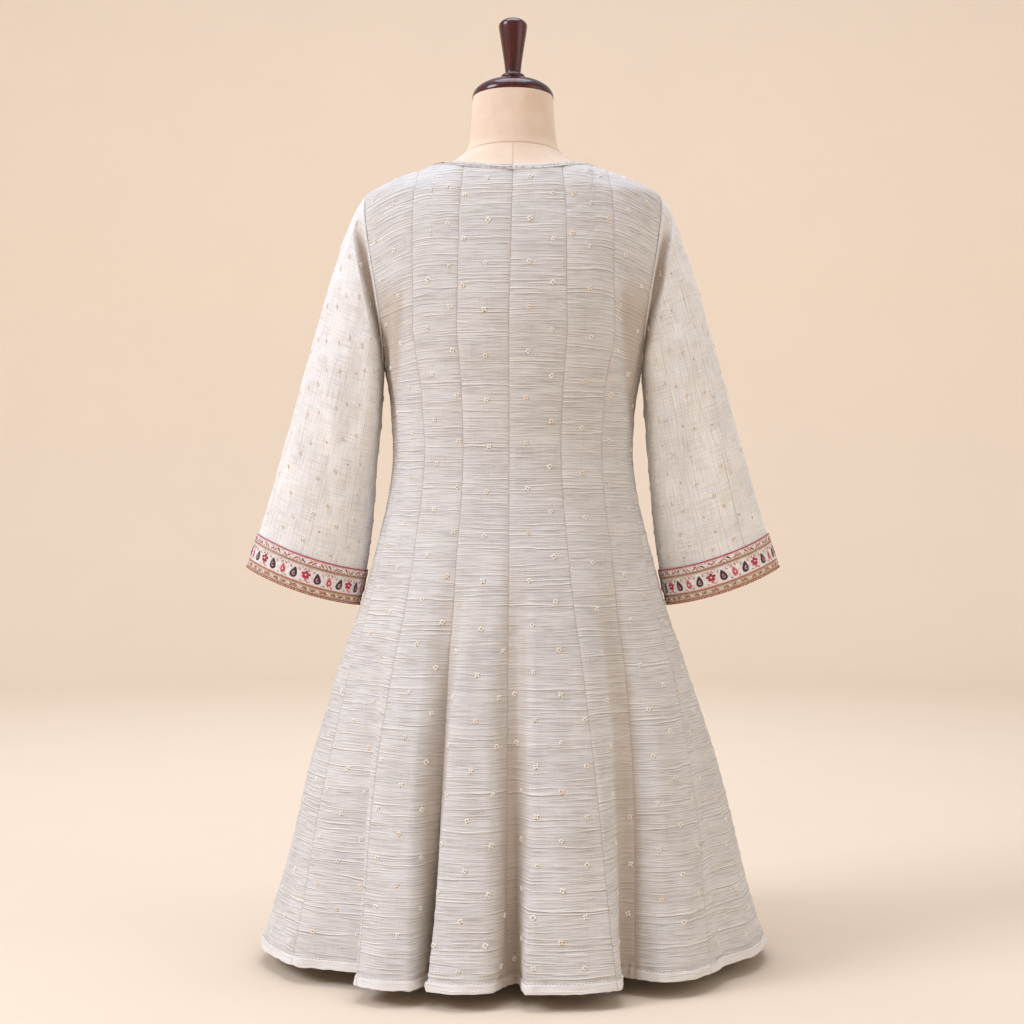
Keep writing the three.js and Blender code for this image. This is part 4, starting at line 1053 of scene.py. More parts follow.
class KurtaSizes(bpy.types.PropertyGroup):
    cloth: length_property("Cloth", "Thickness of the kurta's cloth", 1.3)
    hem_stitch: length_property("Hem stitch", "Distance from one hem stitch to the next", 4.2)
    hem_turn: length_property("Hem turn", "Height of the stitch line above the hem's edge", 11.5)
    buti: length_property("Buti", "Width of one small flower", 7.4)
    buti_across: length_property("Buti columns", "Distance across between two columns of small flowers", 30.0)
    buti_up: length_property("Buti rows", "Height between two small flowers in a column", 57.0)
    border_repeat: length_property("Border repeat", "Length of a flower and a leaf of the border", 25.5)


class KurtaColours(bpy.types.PropertyGroup):
    cloth: colour_property("Cloth", "The slub cloth's ground", "dadadb")
    sleeve: colour_property("Sleeve cloth", "The sleeves' lighter ground", "f9f8f6")
    cloth_shade: colour_property("Cloth shade", "Where the ground is greyer", "cfcecd")
    # Gaps between the threads, and the painted shadow under the raised threads
    cloth_gap: colour_property("Cloth gap", "Between the threads", "958b81")
    # Painted shade: the colour the cloth takes deep in the skirt's folds, beside the sleeves and in the
    # sleeves' dip
    painted_fold_shade: colour_property("Fold shade", "The cloth deep in the folds, less bleached", "b3a089")
    cloth_light: colour_property("Cloth light", "The lighter threads of the ground", "e8e7e6")
    # Painted highlight on the tops of the raised threads; the turned hem takes it too
    thread_light: colour_property("Raised thread", "The tops of the raised threads", "f8f6f3")
    # The seams' and stitches' thread, which also stands for the painted shade along the seams
    seam_thread: colour_property("Seam thread", "The seams' thread and shadow", "b39c8b")
    cream: colour_property("Cream silk", "The small flowers' petals", "fffcf3")
    peach: colour_property("Peach silk", "The warmer small flowers", "f8ebd9")
    # The tan pad set off to one side under each small flower is a painted shadow; the centres are tan thread
    tan: colour_property("Tan silk", "The small flowers' outlines and centres", "ab8660")
    zari: colour_property("Zari", "Gilt thread and beads", "c4975a")
    magenta: colour_property("Magenta silk", "The border's bright flowers", "c9245f")
    crimson: colour_property("Crimson silk", "The border's red flowers and lines", "b42d43")
    plum: colour_property("Plum silk", "The border's dark leaves", "3f2638")
    rust: colour_property("Rust silk", "The border's sprigs", "b2543e")
    rose: colour_property("Rose silk", "The border's pink dashes", "e2858d")
    sand: colour_property("Sand silk", "The border's sand bands", "d4bba5")
    border_ground: colour_property("Border ground", "The border's cloth", "f5f2f1")
    border_shade: colour_property("Border shade", "Between the border cloth's threads", "d6cfca")
    jersey: colour_property("Jersey", "The dress form's cover", "ebd7c3")
    jersey_shade: colour_property("Jersey shade", "Where the cover is darker", "e4cdb6")
    jersey_seam: colour_property("Jersey seam", "The cover's seams", "c49f7c")
    wood: colour_property("Wood", "The light grain of the cap", "5c070b")
    wood_dark: colour_property("Dark wood", "The dark grain of the cap", "1f0304")
    metal: colour_property("Metal", "The pole and the base", "2c2826")
    floor: colour_property("Studio paper", "The floor and the backdrop", "f1dfc9")


class StudioSettings(bpy.types.PropertyGroup):
    key: power_property("Key light", "Power of the light at the upper left", 153.0)
    fill: power_property("Fill light", "Power of the light at the right", 18.5)
    top: power_property("Top light", "Power of the light above", 46.0)
    backdrop: power_property("Backdrop light", "Power of the light on the backdrop", 36.0)
    camera_height: length_property("Camera height", "Height of the camera above the floor", 572.0)
    camera_distance: length_property("Camera distance", "Distance of the camera from the form", 2300.0)
    lens: FloatProperty(name="Lens", description="Focal length", default=62.2, min=1, unit="CAMERA")
    round_steps: IntProperty(name="Round steps", description="Faces round turned pieces", default=96, min=12)


def dressed(made, slot, node=None, **cloth):
    """The piece rides with the object and may stand for a node, whose part it hides. slot and cloth are not
    used.
    """
    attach(made, "root")
    if node:
        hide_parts(node)


def cut_of(cloth):
    """A piece's flat width and length and its area, in metres."""
    width, length, area = cloth.cut
    facts = {"flat": (round(width * MM, 3), round(length * MM, 3))}
    if area < 0.97 * width * length:
        facts["area"] = round(area * MM * MM, 4)
    return facts


class KURTA_OT_panels(bpy.types.Operator):
    """Makes the sixteen panels of the body and skirt"""

    bl_idname = "kurta.panels"
    bl_label = "Panels"

    def execute(self, context):
        sizes = context.scene.kurta_sizes
        for i, (name, cloth) in enumerate(zip(PANEL_NAMES, panel_cloths())):
            made = wall_mesh(
                f"{name}_cloth", cloth, sizes.cloth / MM, finish("panel"),
                (300.0 * i + 150, 137.0 * (i % 5)),
                {
                    # deep is each point's share of painted shade in the folds and beside the sleeve
                    "from_seam": cloth.from_seam, "deep": cloth.deep,
                    "turned": smooth((HEM_SHOWN - cloth.up) / 1.6),
                },
            )
            trim = [bpy.data.objects["neck_binding_strip"]] if i == 0 else []
            dressed(
                made, "slub_cloth", name, held="hung", rests_on=["form_torso_cover"], with_pieces=trim,
                **cut_of(cloth),
            )
        return {"FINISHED"}


BUTI_THREADS = ("cream", "peach", "tan")
CREAM, PEACH, TAN = range(3)
BUTI_RIM, BUTI_TOP = 5.0, 6.0
FLECK_ACROSS, FLECK_UP = 29.0, 27.0


def buti(x, y, width, kind, turn):
    """A small flower: raised knots round a tan centre, on a tan pad set off to one side as its painted
    shadow.
    """
    knots = 4 if kind == CREAM else 5
    # A painted shadow: a low tan pad, set off down and to one side, that shows beside the knots
    shapes = [pad(x + 0.06 * width, y - 0.08 * width, 0.4 * width, 0.38 * width, 0, 0.16, TAN, 8)]
    for k in range(knots):
        a = turn + k * 2 * math.pi / knots
        place = x + 0.27 * width * math.cos(a), y + 0.27 * width * math.sin(a)
        shapes.append(pad(*place, 0.26 * width, 0.19 * width, -a - math.pi / 2, 0.95, kind))
    shapes.append(pad(x, y, 0.11 * width, 0.11 * width, 0, 0.75, TAN))
    return shapes


def buti_shapes(cloth, sizes, offset):
    """The small flowers that fit on a cloth, in a half-drop lattice."""
    across_step, up_step = sizes.buti_across / MM, sizes.buti_up / MM
    shapes = []
    draw = np.random.default_rng(int(offset * 10) + 7)
    widest = np.abs(cloth.across).max()
    for k in range(int(-widest // across_step) - 1, int(widest // across_step) + 2):
        x = k * across_step + (offset % across_step) - across_step / 2
        v = 24 + (offset * 1.7) % up_step + (up_step / 2 if k % 2 else 0)
        while v < cloth.up.max():
            jitter = draw.uniform(-1.5, 1.5, 2)
            kind = PEACH if draw.random() < 0.18 else CREAM
            turn, size = draw.uniform(0, 2), draw.uniform(0.85, 1.1)
            row = int(np.searchsorted(cloth.up[:, cloth.up.shape[1] // 2], v))
            if row < len(cloth.across) - 3:
                low, high = cloth.across[row, 0], cloth.across[row, -1]
                inside = low + BUTI_RIM < x + jitter[0] < high - BUTI_RIM
                if inside and v < cloth.up.min(axis=1).max() - BUTI_TOP:
                    shapes += buti(x + jitter[0], v + jitter[1], sizes.buti / MM * size, kind, turn)
            v += up_step
    return shapes


def sleeve_fleck_shapes(cloth, sizes, seed):
    """The sleeve's small knots of gilt and cream thread, in a loose lattice."""
    draw = np.random.default_rng(seed)
    width = sizes.buti / MM
    shapes = []
    columns = int(cloth.cuff // FLECK_ACROSS)
    longest = cloth.up[:, SLEEVE_COLUMNS // 2]
    for k in range(columns):
        for level, v in enumerate(np.arange(BORDER_WIDTH + 8, longest[-1] - 12, FLECK_UP)):
            place = k + 0.5 * (level % 2) + 0.25 + draw.uniform(-0.15, 0.15)
            x = place * cloth.cuff / columns % cloth.cuff
            y, turn, chance = v + draw.uniform(-5, 5), draw.uniform(0, 3.1), draw.random()
            column = min(int(x / cloth.cuff * SLEEVE_COLUMNS), SLEEVE_COLUMNS - 1)
            row = min(int(np.searchsorted(longest, y)), SLEEVE_ROWS - 1)
            if cloth.up[row, column] < BORDER_WIDTH + 7:
                continue
            if chance < 0.7:
                drawn = buti(0, 0, 0.85 * width, PEACH if k % 2 else CREAM, turn)
            else:
                drawn = [pad(0, 0, 0.24 * width, 0.11 * width, turn, 0.7, TAN if chance < 0.9 else CREAM)]
            eased = [cloth.cuff / cloth.turns[row], longest[-1] / cloth.up[-1, column], 1]
            shapes += [(points * eased + [x, y, 0], faces, kind) for points, faces, kind in drawn]
    return shapes


class KURTA_OT_butis(bpy.types.Operator):
    """Embroiders the small flowers on the panels and sleeves"""

    bl_idname = "kurta.butis"
    bl_label = "Small flowers"

    def execute(self, context):
        sizes = context.scene.kurta_sizes
        colours = [finish(thread) for thread in BUTI_THREADS]
        for i, (name, cloth) in enumerate(zip(PANEL_NAMES, panel_cloths())):
            shapes = buti_shapes(cloth, sizes, 11.0 * i + 3)
            dressed(embroidery(f"{name}_butis", cloth, shapes, colours), "embroidered_border")
        for i, side in enumerate(("right", "left")):
            cloth = sleeve_cloth(side)
            shapes = sleeve_fleck_shapes(cloth, sizes, 70 + i)
            dressed(embroidery(f"sleeve_{side}_flecks", opened(cloth), shapes, colours), "embroidered_border")
        return {"FINISHED"}


class KURTA_OT_hem_stitches(bpy.types.Operator):
    """Sews the turned hem, panel by panel"""

    bl_idname = "kurta.hem_stitches"
    bl_label = "Hem stitches"

    def execute(self, context):
        sizes = context.scene.kurta_sizes
        step, height = sizes.hem_stitch / MM, sizes.hem_turn / MM
        for name, cloth in zip(PANEL_NAMES, panel_cloths()):
            draw = np.random.default_rng(len(name) * 31 + ord(name[5]))
            half = cloth.across[3, -1] - 2
            shapes = []
            for x in np.arange(-half, half - step * 0.6, step):
                y = height + draw.uniform(-0.4, 0.4)
                shapes.append(strand([(x, y), (x + step * 0.3, y + 0.1), (x + step * 0.62, y)], 0.4, 0.4, 0))
            dressed(embroidery(f"{name}_hem_stitches", cloth, shapes, [finish("seam_thread")]), "slub_cloth")
        return {"FINISHED"}


class KURTA_OT_sleeves(bpy.types.Operator):
    """Makes the two sleeves"""

    bl_idname = "kurta.sleeves"
    bl_label = "Sleeves"

    def execute(self, context):
        sizes = context.scene.kurta_sizes
        for i, side in enumerate(("right", "left")):
            cloth = sleeve_cloth(side)
            # deep is each point's share of painted shade in the sleeve's dip
            made = wall_mesh(
                f"sleeve_{side}_cloth", cloth, sizes.cloth / MM, finish("sleeve"),
                (700.0 * i + 100, 300.0 * i), {"deep": cloth.deep},
            )
            rests = [
                f"{panel}_{side}_cloth" for panel in ("back_outer", "back_side", "front_outer", "front_side")
            ]
            dressed(made, "slub_cloth", f"sleeve_{side}", held="hung", rests_on=rests, **cut_of(cloth))
        return {"FINISHED"}


def border_cloth(side):
    """The band on the outside of a sleeve's cuff, finer than the sleeve."""
    sleeve = sleeve_cloth(side)
    rows, columns = 22, sleeve.up.shape[1]
    up = np.linspace(0.0, BORDER_WIDTH, rows)[:, None] + np.zeros(columns)
    across = np.arange(columns) / columns * sleeve.cuff + 0 * up
    levels = np.arange(len(sleeve.up))
    row = np.stack([np.interp(up[:, c], sleeve.up[:, c], levels) for c in range(columns)], axis=1)
    r = np.minimum(row.astype(int), len(sleeve.up) - 2)
    share = (row - r)[..., None]
    c = np.arange(columns)[None, :] + 0 * r
    points, out = (lerp(g[r, c], g[r + 1, c], share) for g in (sleeve.points, sleeve.out))
    lift = BORDER_LIFT + BORDER_CLOTH + 0.12 * ripples(77, across, up, 12, 20)
    points, out = points + out * lift[..., None], unit(out)
    cloth = Cloth(points, out, across, up, closed=True)
    cloth.cuff = sleeve.cuff
    cloth.cut = (sleeve.cuff, BORDER_WIDTH, sleeve.cuff * BORDER_WIDTH * 0.999)
    return cloth


def opened(cloth):
    """A closed cloth with its first column repeated at the end, for laying embroidery on it."""
    grids = [np.concatenate([g, g[:, :1]], axis=1) for g in (cloth.points, cloth.out)]
    across = np.concatenate([cloth.across, cloth.across[:, :1] + cloth.cuff], axis=1)
    return Cloth(*grids, across, np.concatenate([cloth.up, cloth.up[:, :1]], axis=1))


BORDER_THREADS = ("cream", "zari", "magenta", "crimson", "plum", "rust", "rose", "sand")
CREAM, ZARI, MAGENTA, CRIMSON, PLUM, RUST, ROSE, SAND = range(8)


def drop(x, y, half_length, half_width, lean, height, colour):
    """A drop with its point up, leaning to one side."""
    return pad(x, y, half_length, half_width, math.pi / 2 + lean, height, colour, 12, 0.7)


def round_flower(x, y, size, colour):
    """A round flower of five petals with a dark ring and a light centre."""
    shapes = [pad(x, y, 0.3 * size, 0.3 * size, 0, 0.7, CRIMSON, 10)]
    for k in range(5):
        a = k * 2 * math.pi / 5 + 0.3
        place = x + 0.3 * size * math.cos(a), y + 0.34 * size * math.sin(a)
        shapes.append(pad(*place, 0.2 * size, 0.17 * size, -a, 1.0, colour, 8))
    shapes.append(pad(x, y, 0.12 * size, 0.12 * size, 0, 1.3, CREAM, 8))
    return shapes


def border_shapes(length, repeat, seed):
    """The cuff's border, bottom to top: a beaded edge, a sand band with curls, gilt lines, flowers and dark
    leaves on white, gilt lines, a band of slanted dashes and a thin red line."""
    draw = np.random.default_rng(seed)
    pairs = max(1, round(length / repeat))
    pitch = length / pairs
    shapes = []

    run = np.linspace(0, length * 0.9995, 181)
    # Each line's place up the border, half its width and its height
    for y, half_width, height, colour in (
        (46.0, 0.65, 0.6, CRIMSON), (44.7, 0.35, 0.35, ROSE), (36.4, 0.6, 0.6, ZARI),
        (35.1, 0.3, 0.4, CRIMSON), (33.9, 0.4, 0.4, SAND), (12.6, 0.5, 0.5, ROSE), (11.3, 0.6, 0.6, ZARI),
        (2.9, 0.6, 0.6, RUST), (7.0, 3.9, 0.16, SAND), (0.7, 1.0, 0.3, SAND),
    ):
        shapes.append(strand(np.stack([run, np.full(len(run), y)], axis=-1), half_width, height, colour))
    beads = int(length / 3.1)
    for k in range(beads):
        x = (k + draw.uniform(-0.12, 0.12)) * length / beads
        shapes.append(pad(x, 1.0 + draw.uniform(-0.25, 0.25), 1.2, 1.05, 0, 1.4, ZARI if k % 3 else RUST, 8))
    curls = int(length / 5.2)
    for k in range(curls):
        x = (k + 0.5) * length / curls
        lean = 0.8 if k % 2 else -0.8
        colour = (CREAM, PLUM, CREAM, CRIMSON, CREAM, RUST)[k % 6]
        shapes.append(pad(x, 7.3 + 0.5 * math.sin(k), 2.5, 0.85, lean, 0.7, colour, 8, 0.3))
        hook = [(x + 2.0 + 1.1 * math.cos(t), 6.6 + 1.5 * math.sin(t)) for t in np.linspace(-2.2, 2.6, 7)]
        shapes.append(strand(hook, 0.36, 0.5, (RUST, CREAM, PLUM)[k % 3]))
        shapes.append(pad(x + 2.0, 6.7, 0.55, 0.5, 0, 0.6, (CREAM, CRIMSON)[k % 2]))
    dashes = int(length / 4.0)
    for k in range(dashes):
        x = (k + 0.5) * length / dashes
        lean = 0.75 if (k // 3) % 2 else -0.75
        colour = (RUST, CREAM, CRIMSON, ROSE, PLUM, CREAM, CRIMSON)[k % 7]
        shapes.append(pad(x, 40.6 + 0.5 * math.sin(1.3 * k), 2.9, 0.95, lean, 0.65, colour, 8, 0.35))
        low = 38.4 + draw.uniform(-0.3, 0.3)
        shapes.append(pad(x + 1.7, low, 1.0, 0.6, -lean, 0.55, (ZARI, CRIMSON, RUST)[k % 3]))
        shapes.append(pad(x - 0.6, 43.0, 1.0, 0.5, lean, 0.5, (ROSE, RUST, CREAM)[k % 3]))
    for k in range(pairs):
        x = k * pitch + 0.25 * pitch + draw.uniform(-0.3, 0.3)
        bright = MAGENTA if k % 3 else CRIMSON
        if k % 2:
            shapes += round_flower(x, 23.8, 10.6, bright)
            shapes.append(drop(x + 1.6, 16.6, 2.6, 1.3, -2.6, 0.6, ROSE))
        else:
            shapes.append(drop(x, 22.6, 6.6, 4.4, 0.12, 0.7, ROSE))
            shapes.append(drop(x, 22.2, 5.0, 3.2, 0.12, 1.1, bright))
            shapes.append(drop(x + 0.2, 21.6, 2.4, 1.3, 0.12, 1.5, CREAM))
        shapes.append(strand([(x, 15.4), (x - 0.5, 17.6), (x + 0.2, 20)], 0.36, 0.45, RUST))
        for s in (-1, 1):
            shapes.append(pad(x + 2.1 * s, 30.4, 2.3, 0.75, -0.95 * s, 0.6, RUST if s > 0 else ZARI, 8, 0.4))
            shapes.append(pad(x + 4.6 * s, 31.8, 1.7, 0.65, -0.5 * s, 0.6, (ROSE, SAND)[k % 2], 6, 0.3))
            shapes.append(pad(x + 4.3 * s, 15.4, 1.6, 0.65, 0.5 * s, 0.55, (PLUM, RUST)[k % 2], 6, 0.4))
        leaf = x + pitch / 2
        lean = 0.14 if k % 2 else -0.1
        shapes.append(drop(leaf, 22.6, 7.2, 5.4, lean, 0.9, PLUM))
        shapes.append(drop(leaf, 21.4, 3.7, 2.5, lean, 1.3, (SAND, ROSE)[k % 2]))
        shapes.append(drop(leaf + 0.2, 21.0, 2.2, 1.5, lean, 1.6, PLUM))
        shapes.append(pad(leaf + 0.9, 19.3, 0.8, 0.7, 0, 1.8, CREAM))
        for s in (-1, 1):
            tip = [(leaf + 3.6 * s, 27.8), (leaf + 4.6 * s, 29.8), (leaf + 3.8 * s, 31.8)]
            shapes.append(strand(tip, 0.34, 0.45, ZARI))
            shapes.append(pad(leaf + 5.3 * s, 28.3, 0.9, 0.5, 0.6 * s, 0.5, (CRIMSON, RUST)[k % 2]))
    return shapes


class KURTA_OT_borders(bpy.types.Operator):
    """Makes the embroidered band of each cuff"""

    bl_idname = "kurta.borders"
    bl_label = "Cuff borders"

    def execute(self, context):
        sizes = context.scene.kurta_sizes
        colours = [finish(thread) for thread in BORDER_THREADS]
        for i, side in enumerate(("right", "left")):
            cloth = border_cloth(side)
            ground = finish("border_ground")
            band = wall_mesh(f"border_{side}_band", cloth, BORDER_CLOTH, ground, (500.0 * i, 0.0))
            shapes = border_shapes(cloth.cuff, sizes.border_repeat / MM, 40 + i)
            worked = embroidery(f"border_{side}_embroidery", opened(cloth), shapes, colours)
            dressed(worked, "embroidered_border")
            dressed(
                band, "embroidered_border", f"border_{side}", held="hung", rests_on=[f"sleeve_{side}_cloth"],
                with_pieces=[worked], **cut_of(cloth),
            )
        return {"FINISHED"}


class KURTA_OT_binding(bpy.types.Operator):
    """Binds the neckline"""

    bl_idname = "kurta.binding"
    bl_label = "Neck binding"

    def execute(self, context):
        count, rows = 280, 7
        turn = evenly(neckline_points, 0, 360, np.arange(count) / count)
        line = neckline_points(turn)
        along = unit(np.roll(line, -1, axis=0) - np.roll(line, 1, axis=0))
        away = unit(np.cross(along, outwards(line)))
        grid = np.stack([
            onto_outline(line + away * BINDING_WIDTH * (1 - r / (rows - 1))) for r in range(rows)
        ])
        out = outwards(grid)
        steps = np.linalg.norm(np.roll(grid, -1, axis=1) - grid, axis=2)
        across = np.concatenate([np.zeros((rows, 1)), np.cumsum(steps, axis=1)[:, :-1]], axis=1)
        up = np.linspace(0, BINDING_WIDTH, rows)[:, None] + 0 * across
        share = np.linspace(0, 1, rows)[:, None]
        bulge = 0.5 * np.sqrt(np.maximum(0, 1 - (2 * share - 1) ** 2))
        pucker = 0.3 * ripples(91, across, up, 9, 14) * np.sin(np.pi * share)
        points = grid + out * (BINDING_LIFT + 0.7 + bulge + pucker)[..., None]
        cloth = Cloth(points, out, across, up, closed=True)
        made = wall_mesh(
            "neck_binding_strip", cloth, BINDING_WALL, finish("panel"), (90.0, 40.0),
            {"from_seam": np.full(up.shape, 9.0)},
        )
        dressed(made, "slub_cloth", "neck_binding")
        draw = np.random.default_rng(93)
        shapes = []
        x = 3.0
        while x < across[0, -1] - 8:
            y, lean = draw.uniform(0.6, 2.2), draw.uniform(-1.6, 2.4)
            loop = [(x + lean * t + 0.7 * math.sin(3 * t), y + 3.4 * t) for t in (0, 0.3, 0.6, 1)]
            shapes.append(strand(loop, 0.4, 0.45, 0))
            x += draw.uniform(2.4, 13)
        worked = embroidery("neck_binding_stitches", cloth, shapes, [finish("seam_thread")])
        dressed(worked, "slub_cloth")
        return {"FINISHED"}


class KURTA_OT_form(bpy.types.Operator):
    """Makes the dress form's body and neck, with their seams"""

    bl_idname = "kurta.form"
    bl_label = "Dress form"

    def execute(self, context):
        near = np.arange(-7, 7.1, 0.5)
        sides = np.arange(8, 173, 2.2), np.arange(188, 353, 2.2)
        angle = np.unique(np.concatenate([*sides, near + 180, near % 360]))
        columns = len(angle)
        z = np.concatenate([
            [330, 332, 335, 340, 347], np.arange(356, 990, 10), np.arange(990, 1030, 2.5),
            np.arange(1030, 1050, 0.6), np.arange(1050, 1070, 2), np.arange(1070, 1108, 3), [1108, 1109],
        ])
        grid = section_points(FORM_SECTIONS, angle[None, :], z[:, None] + 0 * angle)
        a = np.radians(angle)[None, :] + 0 * z[:, None]
        neck_seam = 1034 + np.where(np.cos(a) > 0, 8, 5) * np.abs(np.cos(a)) ** 0.8
        seam = np.exp(-(((grid[..., 2] - neck_seam) / 0.9) ** 2))
        centre = 0.8 * np.exp(-((grid[..., 0] / 0.75) ** 2)) * (grid[..., 2] < neck_seam)
        seam = np.maximum(seam, centre)
        grid = grid - grid_normals(grid, closed=True) * (0.45 * seam)[..., None]
        grid[..., 2] -= grid[..., 1] * math.tan(NECK_TILT) * np.clip(
            (z[:, None] - NECK_TILT_FROM_Z) / (NECK_TOP_Z - NECK_TILT_FROM_Z), 0, 1)
        rows = len(z)
        points = np.concatenate([grid.reshape(-1, 3), [grid[0].mean(0), grid[-1].mean(0)]])
        faces = grid_faces(rows, columns, True).tolist()
        for k in range(columns):
            n = (k + 1) % columns
            faces.append([rows * columns, n, k])
            faces.append([rows * columns + 1, (rows - 1) * columns + k, (rows - 1) * columns + n])
        uv = stacked(a * 60, z[:, None] + 0 * a, 0)[..., :2].reshape(-1, 2)
        uv = np.concatenate([uv, [[0, 0], [0, 0]]])
        values = {"seam": np.concatenate([seam.ravel(), [0, 0]])}
        made = mesh_object("form_torso_cover", points, faces, [finish("jersey")], uv=uv, values=values)
        dressed(made, "form_jersey", "form_torso")
        return {"FINISHED"}


def leaning(points, lift=0.0):
    """Points of the cap, which leans with the neck, moved to their place."""
    turned = points + [0, 0, lift]
    y = turned[:, 1] * math.cos(NECK_TILT) + turned[:, 2] * math.sin(NECK_TILT)
    z = -turned[:, 1] * math.sin(NECK_TILT) + turned[:, 2] * math.cos(NECK_TILT)
    foot = NECK_TOP_Z + TOUCH_GAP - CAP_SHIFT_Y * math.tan(NECK_TILT)
    return np.stack([turned[:, 0], y + CAP_SHIFT_Y, z + foot], axis=-1)


class KURTA_OT_cap(bpy.types.Operator):
    """Turns the neck cap and its handle"""

    bl_idname = "kurta.cap"
    bl_label = "Neck cap and handle"

    def execute(self, context):
        steps = context.scene.kurta_studio.round_steps
        end = math.acos((HANDLE_COLLAR + 1) / CAP_RADIUS)
        cap = [(0, 0), (CAP_RADIUS - 1, 0), (CAP_RADIUS - 0.3, 0.3), (CAP_RADIUS, 1), (CAP_RADIUS, CAP_LIP)]
        for a in np.linspace(0, end, 28)[1:]:
            rise = (CAP_HEIGHT - CAP_LIP) * math.sin(a) / math.sin(end)
            cap.append((CAP_RADIUS * math.cos(a), CAP_LIP + rise))
        cap.append((0, CAP_HEIGHT))
        made = lathed("neck_cap_dome", cap, steps, finish("wood"), leaning)
        dressed(made, "varnished_wood", "neck_cap")
        handle = [(0, 0)]
        for a in np.radians(np.linspace(-68, 80, 9)):
            rise = HANDLE_COLLAR_HEIGHT * (0.5 + 0.5 * math.sin(a))
            handle.append((HANDLE_COLLAR - 4.3 + 4.3 * math.cos(a), rise))
        handle += [(HANDLE_FOOT + 0.9, HANDLE_COLLAR_HEIGHT + 0.3), (HANDLE_FOOT, HANDLE_COLLAR_HEIGHT + 1.8)]
        handle += rounded([
            (HANDLE_FOOT, HANDLE_COLLAR_HEIGHT + 3),
            (lerp(HANDLE_FOOT, HANDLE_TOP, 0.25), lerp(HANDLE_COLLAR_HEIGHT, HANDLE_HEIGHT, 0.3)),
            (HANDLE_TOP, HANDLE_HEIGHT - 10), (HANDLE_TOP - 0.6, HANDLE_HEIGHT - 6.5),
            (HANDLE_TOP - 4.5, HANDLE_HEIGHT - 2.2), (HANDLE_TOP - 9, HANDLE_HEIGHT - 0.4),
            (0, HANDLE_HEIGHT),
        ]).tolist()
        lift = CAP_HEIGHT + TOUCH_GAP
        made = lathed("cap_handle_turned", handle, steps, finish("wood"), lambda p: leaning(p, lift))
        dressed(made, "varnished_wood", "cap_handle")
        return {"FINISHED"}


class KURTA_OT_stand(bpy.types.Operator):
    """Makes the pole and the round base"""

    bl_idname = "kurta.stand"
    bl_label = "Stand"

    def execute(self, context):
        steps = context.scene.kurta_studio.round_steps
        foot, top = BASE_HEIGHT + TOUCH_GAP, FORM_SECTIONS[0, HEIGHT] - TOUCH_GAP
        rod = [
            (0, foot), (POLE_RADIUS - 0.6, foot), (POLE_RADIUS, foot + 0.6), (POLE_RADIUS, 100),
            (POLE_RADIUS, 220), (POLE_RADIUS, top - 0.6), (POLE_RADIUS - 0.6, top), (0, top),
        ]
        dressed(lathed("stand_pole_tube", rod, steps, finish("metal")), "dark_metal", "stand_pole")
        plate = [(0, 0), (60, 0), (BASE_RADIUS - 1, 0), (BASE_RADIUS, 1), (BASE_RADIUS, BASE_HEIGHT - 6)]
        plate += [
            (BASE_RADIUS - 6 + 6 * math.cos(a), BASE_HEIGHT - 6 + 6 * math.sin(a))
            for a in np.linspace(0, math.pi / 2, 8)[1:]
        ]
        plate += [(90, BASE_HEIGHT), (40, BASE_HEIGHT), (0, BASE_HEIGHT)]
        dressed(lathed("stand_base_plate", plate, steps, finish("metal")), "dark_metal", "stand_base")
        return {"FINISHED"}


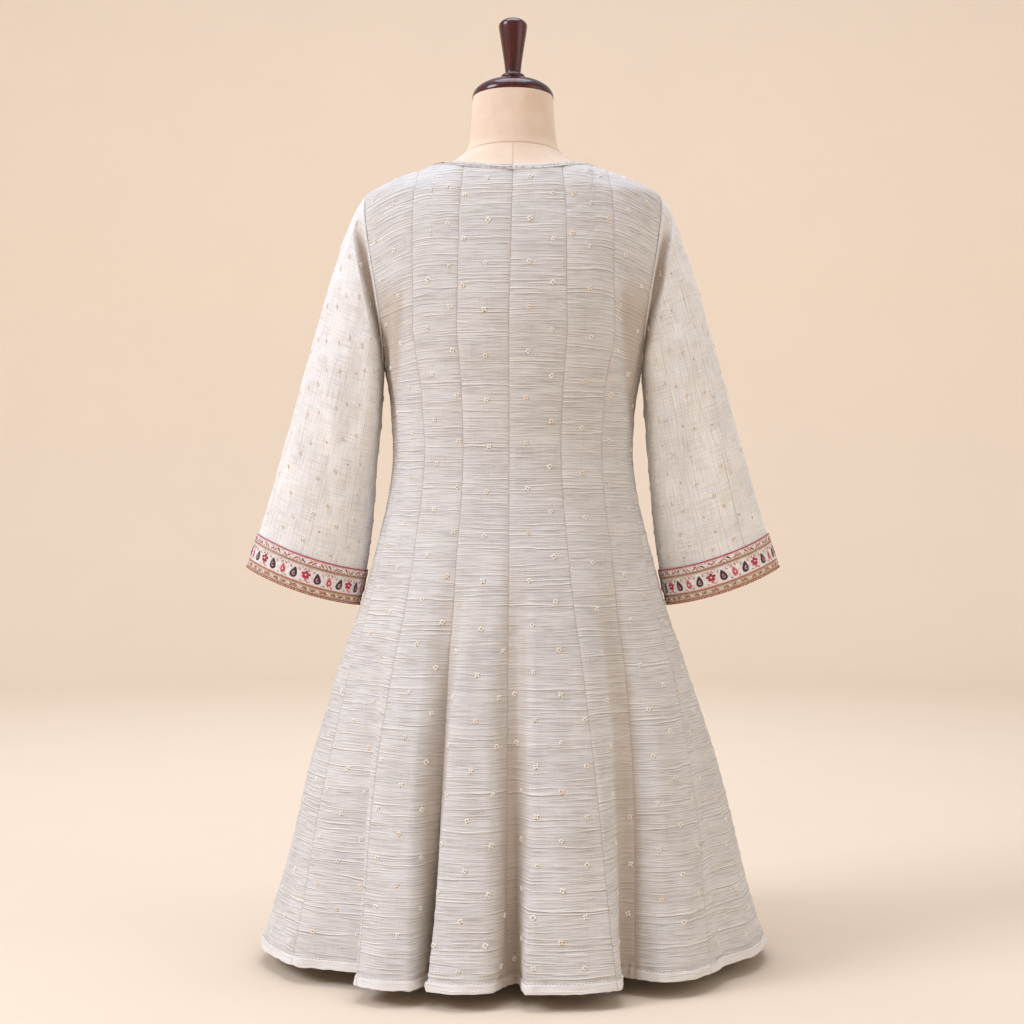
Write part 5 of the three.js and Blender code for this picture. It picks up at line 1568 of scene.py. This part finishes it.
class KURTA_OT_studio(bpy.types.Operator):
    """Sets the floor, the backdrop, the lights and the camera"""

    bl_idname = "kurta.studio"
    bl_label = "Studio"

    def execute(self, context):
        scene, studio = context.scene, context.scene.kurta_studio
        radius, cove, wall_top, count = 5200.0, 1500.0, 3300.0, 96
        profile = [(600, 0), (1500, 0), (radius - cove, 0)]
        for a in np.linspace(0, math.pi / 2, 16)[1:]:
            profile.append((radius - cove + cove * math.sin(a), cove - cove * math.cos(a)))
        profile.append((radius, wall_top))
        a = np.arange(count) * 2 * np.pi / count
        rings = np.stack([stacked(r * np.cos(a), r * np.sin(a), z) for r, z in profile])
        points = np.concatenate([[(0, 0, 0)], rings.reshape(-1, 3)])
        faces = grid_faces(len(rings), count, True, 1)[:, ::-1].tolist()
        faces += [[0, 1 + k, 1 + (k + 1) % count] for k in range(count)]
        paper = mesh_object("studio_floor", points, faces, [finish("floor")])
        paper.location = -Vector(SHIFT)
        # Each light's place and aim in metres, its size, its power and its tint
        for name, place, aim, size, watts, tint in (
            ("key_light", (-3.9, -1.7, 3.4), (0, 0, 0.7), 2.1, studio.key, "eaf0ff"),
            ("fill_light", (3.0, -1.3, 1.7), (0, 0, 0.6), 2.4, studio.fill, "fbf9f8"),
            ("top_light", (0.0, 0.1, 3.4), (0, 0, 0.6), 2.0, studio.top, "f0f4ff"),
            ("backdrop_light", (0, 1.9, 3.0), (0, 5.2, 1.0), 2.4, studio.backdrop, "e5efff"),
        ):
            light = bpy.data.lights.new(name, "AREA")
            light.shape, light.size, light.energy, light.color = "SQUARE", size, watts, linear(tint)
            lamp = bpy.data.objects.new(name, light)
            lamp.location = place
            lamp.rotation_euler = (Vector(aim) - Vector(place)).to_track_quat("-Z", "Y").to_euler()
            scene.collection.objects.link(lamp)
        world = bpy.data.worlds.new("studio_air")
        world.use_nodes = True
        sky = world.node_tree.nodes["Background"]
        sky.inputs[0].default_value, sky.inputs[1].default_value = rgba(linear("f1f4fb")), 0.485
        scene.world = world
        lens = bpy.data.cameras.new("camera")
        lens.lens, lens.sensor_width, lens.clip_end = studio.lens, 36.0, 100.0
        camera = bpy.data.objects.new("camera", lens)
        camera.location = (CAMERA_X * MM, -studio.camera_distance, studio.camera_height)
        camera.rotation_euler = (math.pi / 2, 0, 0)
        scene.collection.objects.link(camera)
        scene.camera = camera
        scene.view_settings.view_transform = "Standard"
        return {"FINISHED"}


OPERATORS = (
    KURTA_OT_form, KURTA_OT_cap, KURTA_OT_stand, KURTA_OT_binding, KURTA_OT_panels, KURTA_OT_sleeves,
    KURTA_OT_borders, KURTA_OT_butis, KURTA_OT_hem_stitches, KURTA_OT_studio,
)


class KURTA_PT_panel(bpy.types.Panel):
    bl_idname = "KURTA_PT_panel"
    bl_label = "Kurta"
    bl_space_type = "VIEW_3D"
    bl_region_type = "UI"
    bl_category = "Kurta"

    def draw(self, context):
        for group in ("kurta_sizes", "kurta_colours", "kurta_studio"):
            settings = getattr(context.scene, group)
            for name in settings.__annotations__:
                self.layout.prop(settings, name)
        for operator in OPERATORS:
            self.layout.operator(operator.bl_idname)


GROUPS = {"kurta_sizes": KurtaSizes, "kurta_colours": KurtaColours, "kurta_studio": StudioSettings}


def register():
    for made in (*GROUPS.values(), *OPERATORS, KURTA_PT_panel):
        bpy.utils.register_class(made)
    for name, group in GROUPS.items():
        setattr(bpy.types.Scene, name, PointerProperty(type=group))


def unregister():
    for name in GROUPS:
        delattr(bpy.types.Scene, name)
    for made in (KURTA_PT_panel, *reversed(OPERATORS), *reversed(list(GROUPS.values()))):
        bpy.utils.unregister_class(made)


def main():
    register()
    for operator in OPERATORS:
        getattr(bpy.ops.kurta, operator.bl_idname.split(".")[1])()
    bpy.context.view_layer.update()


if __name__ == "__main__":
    main()
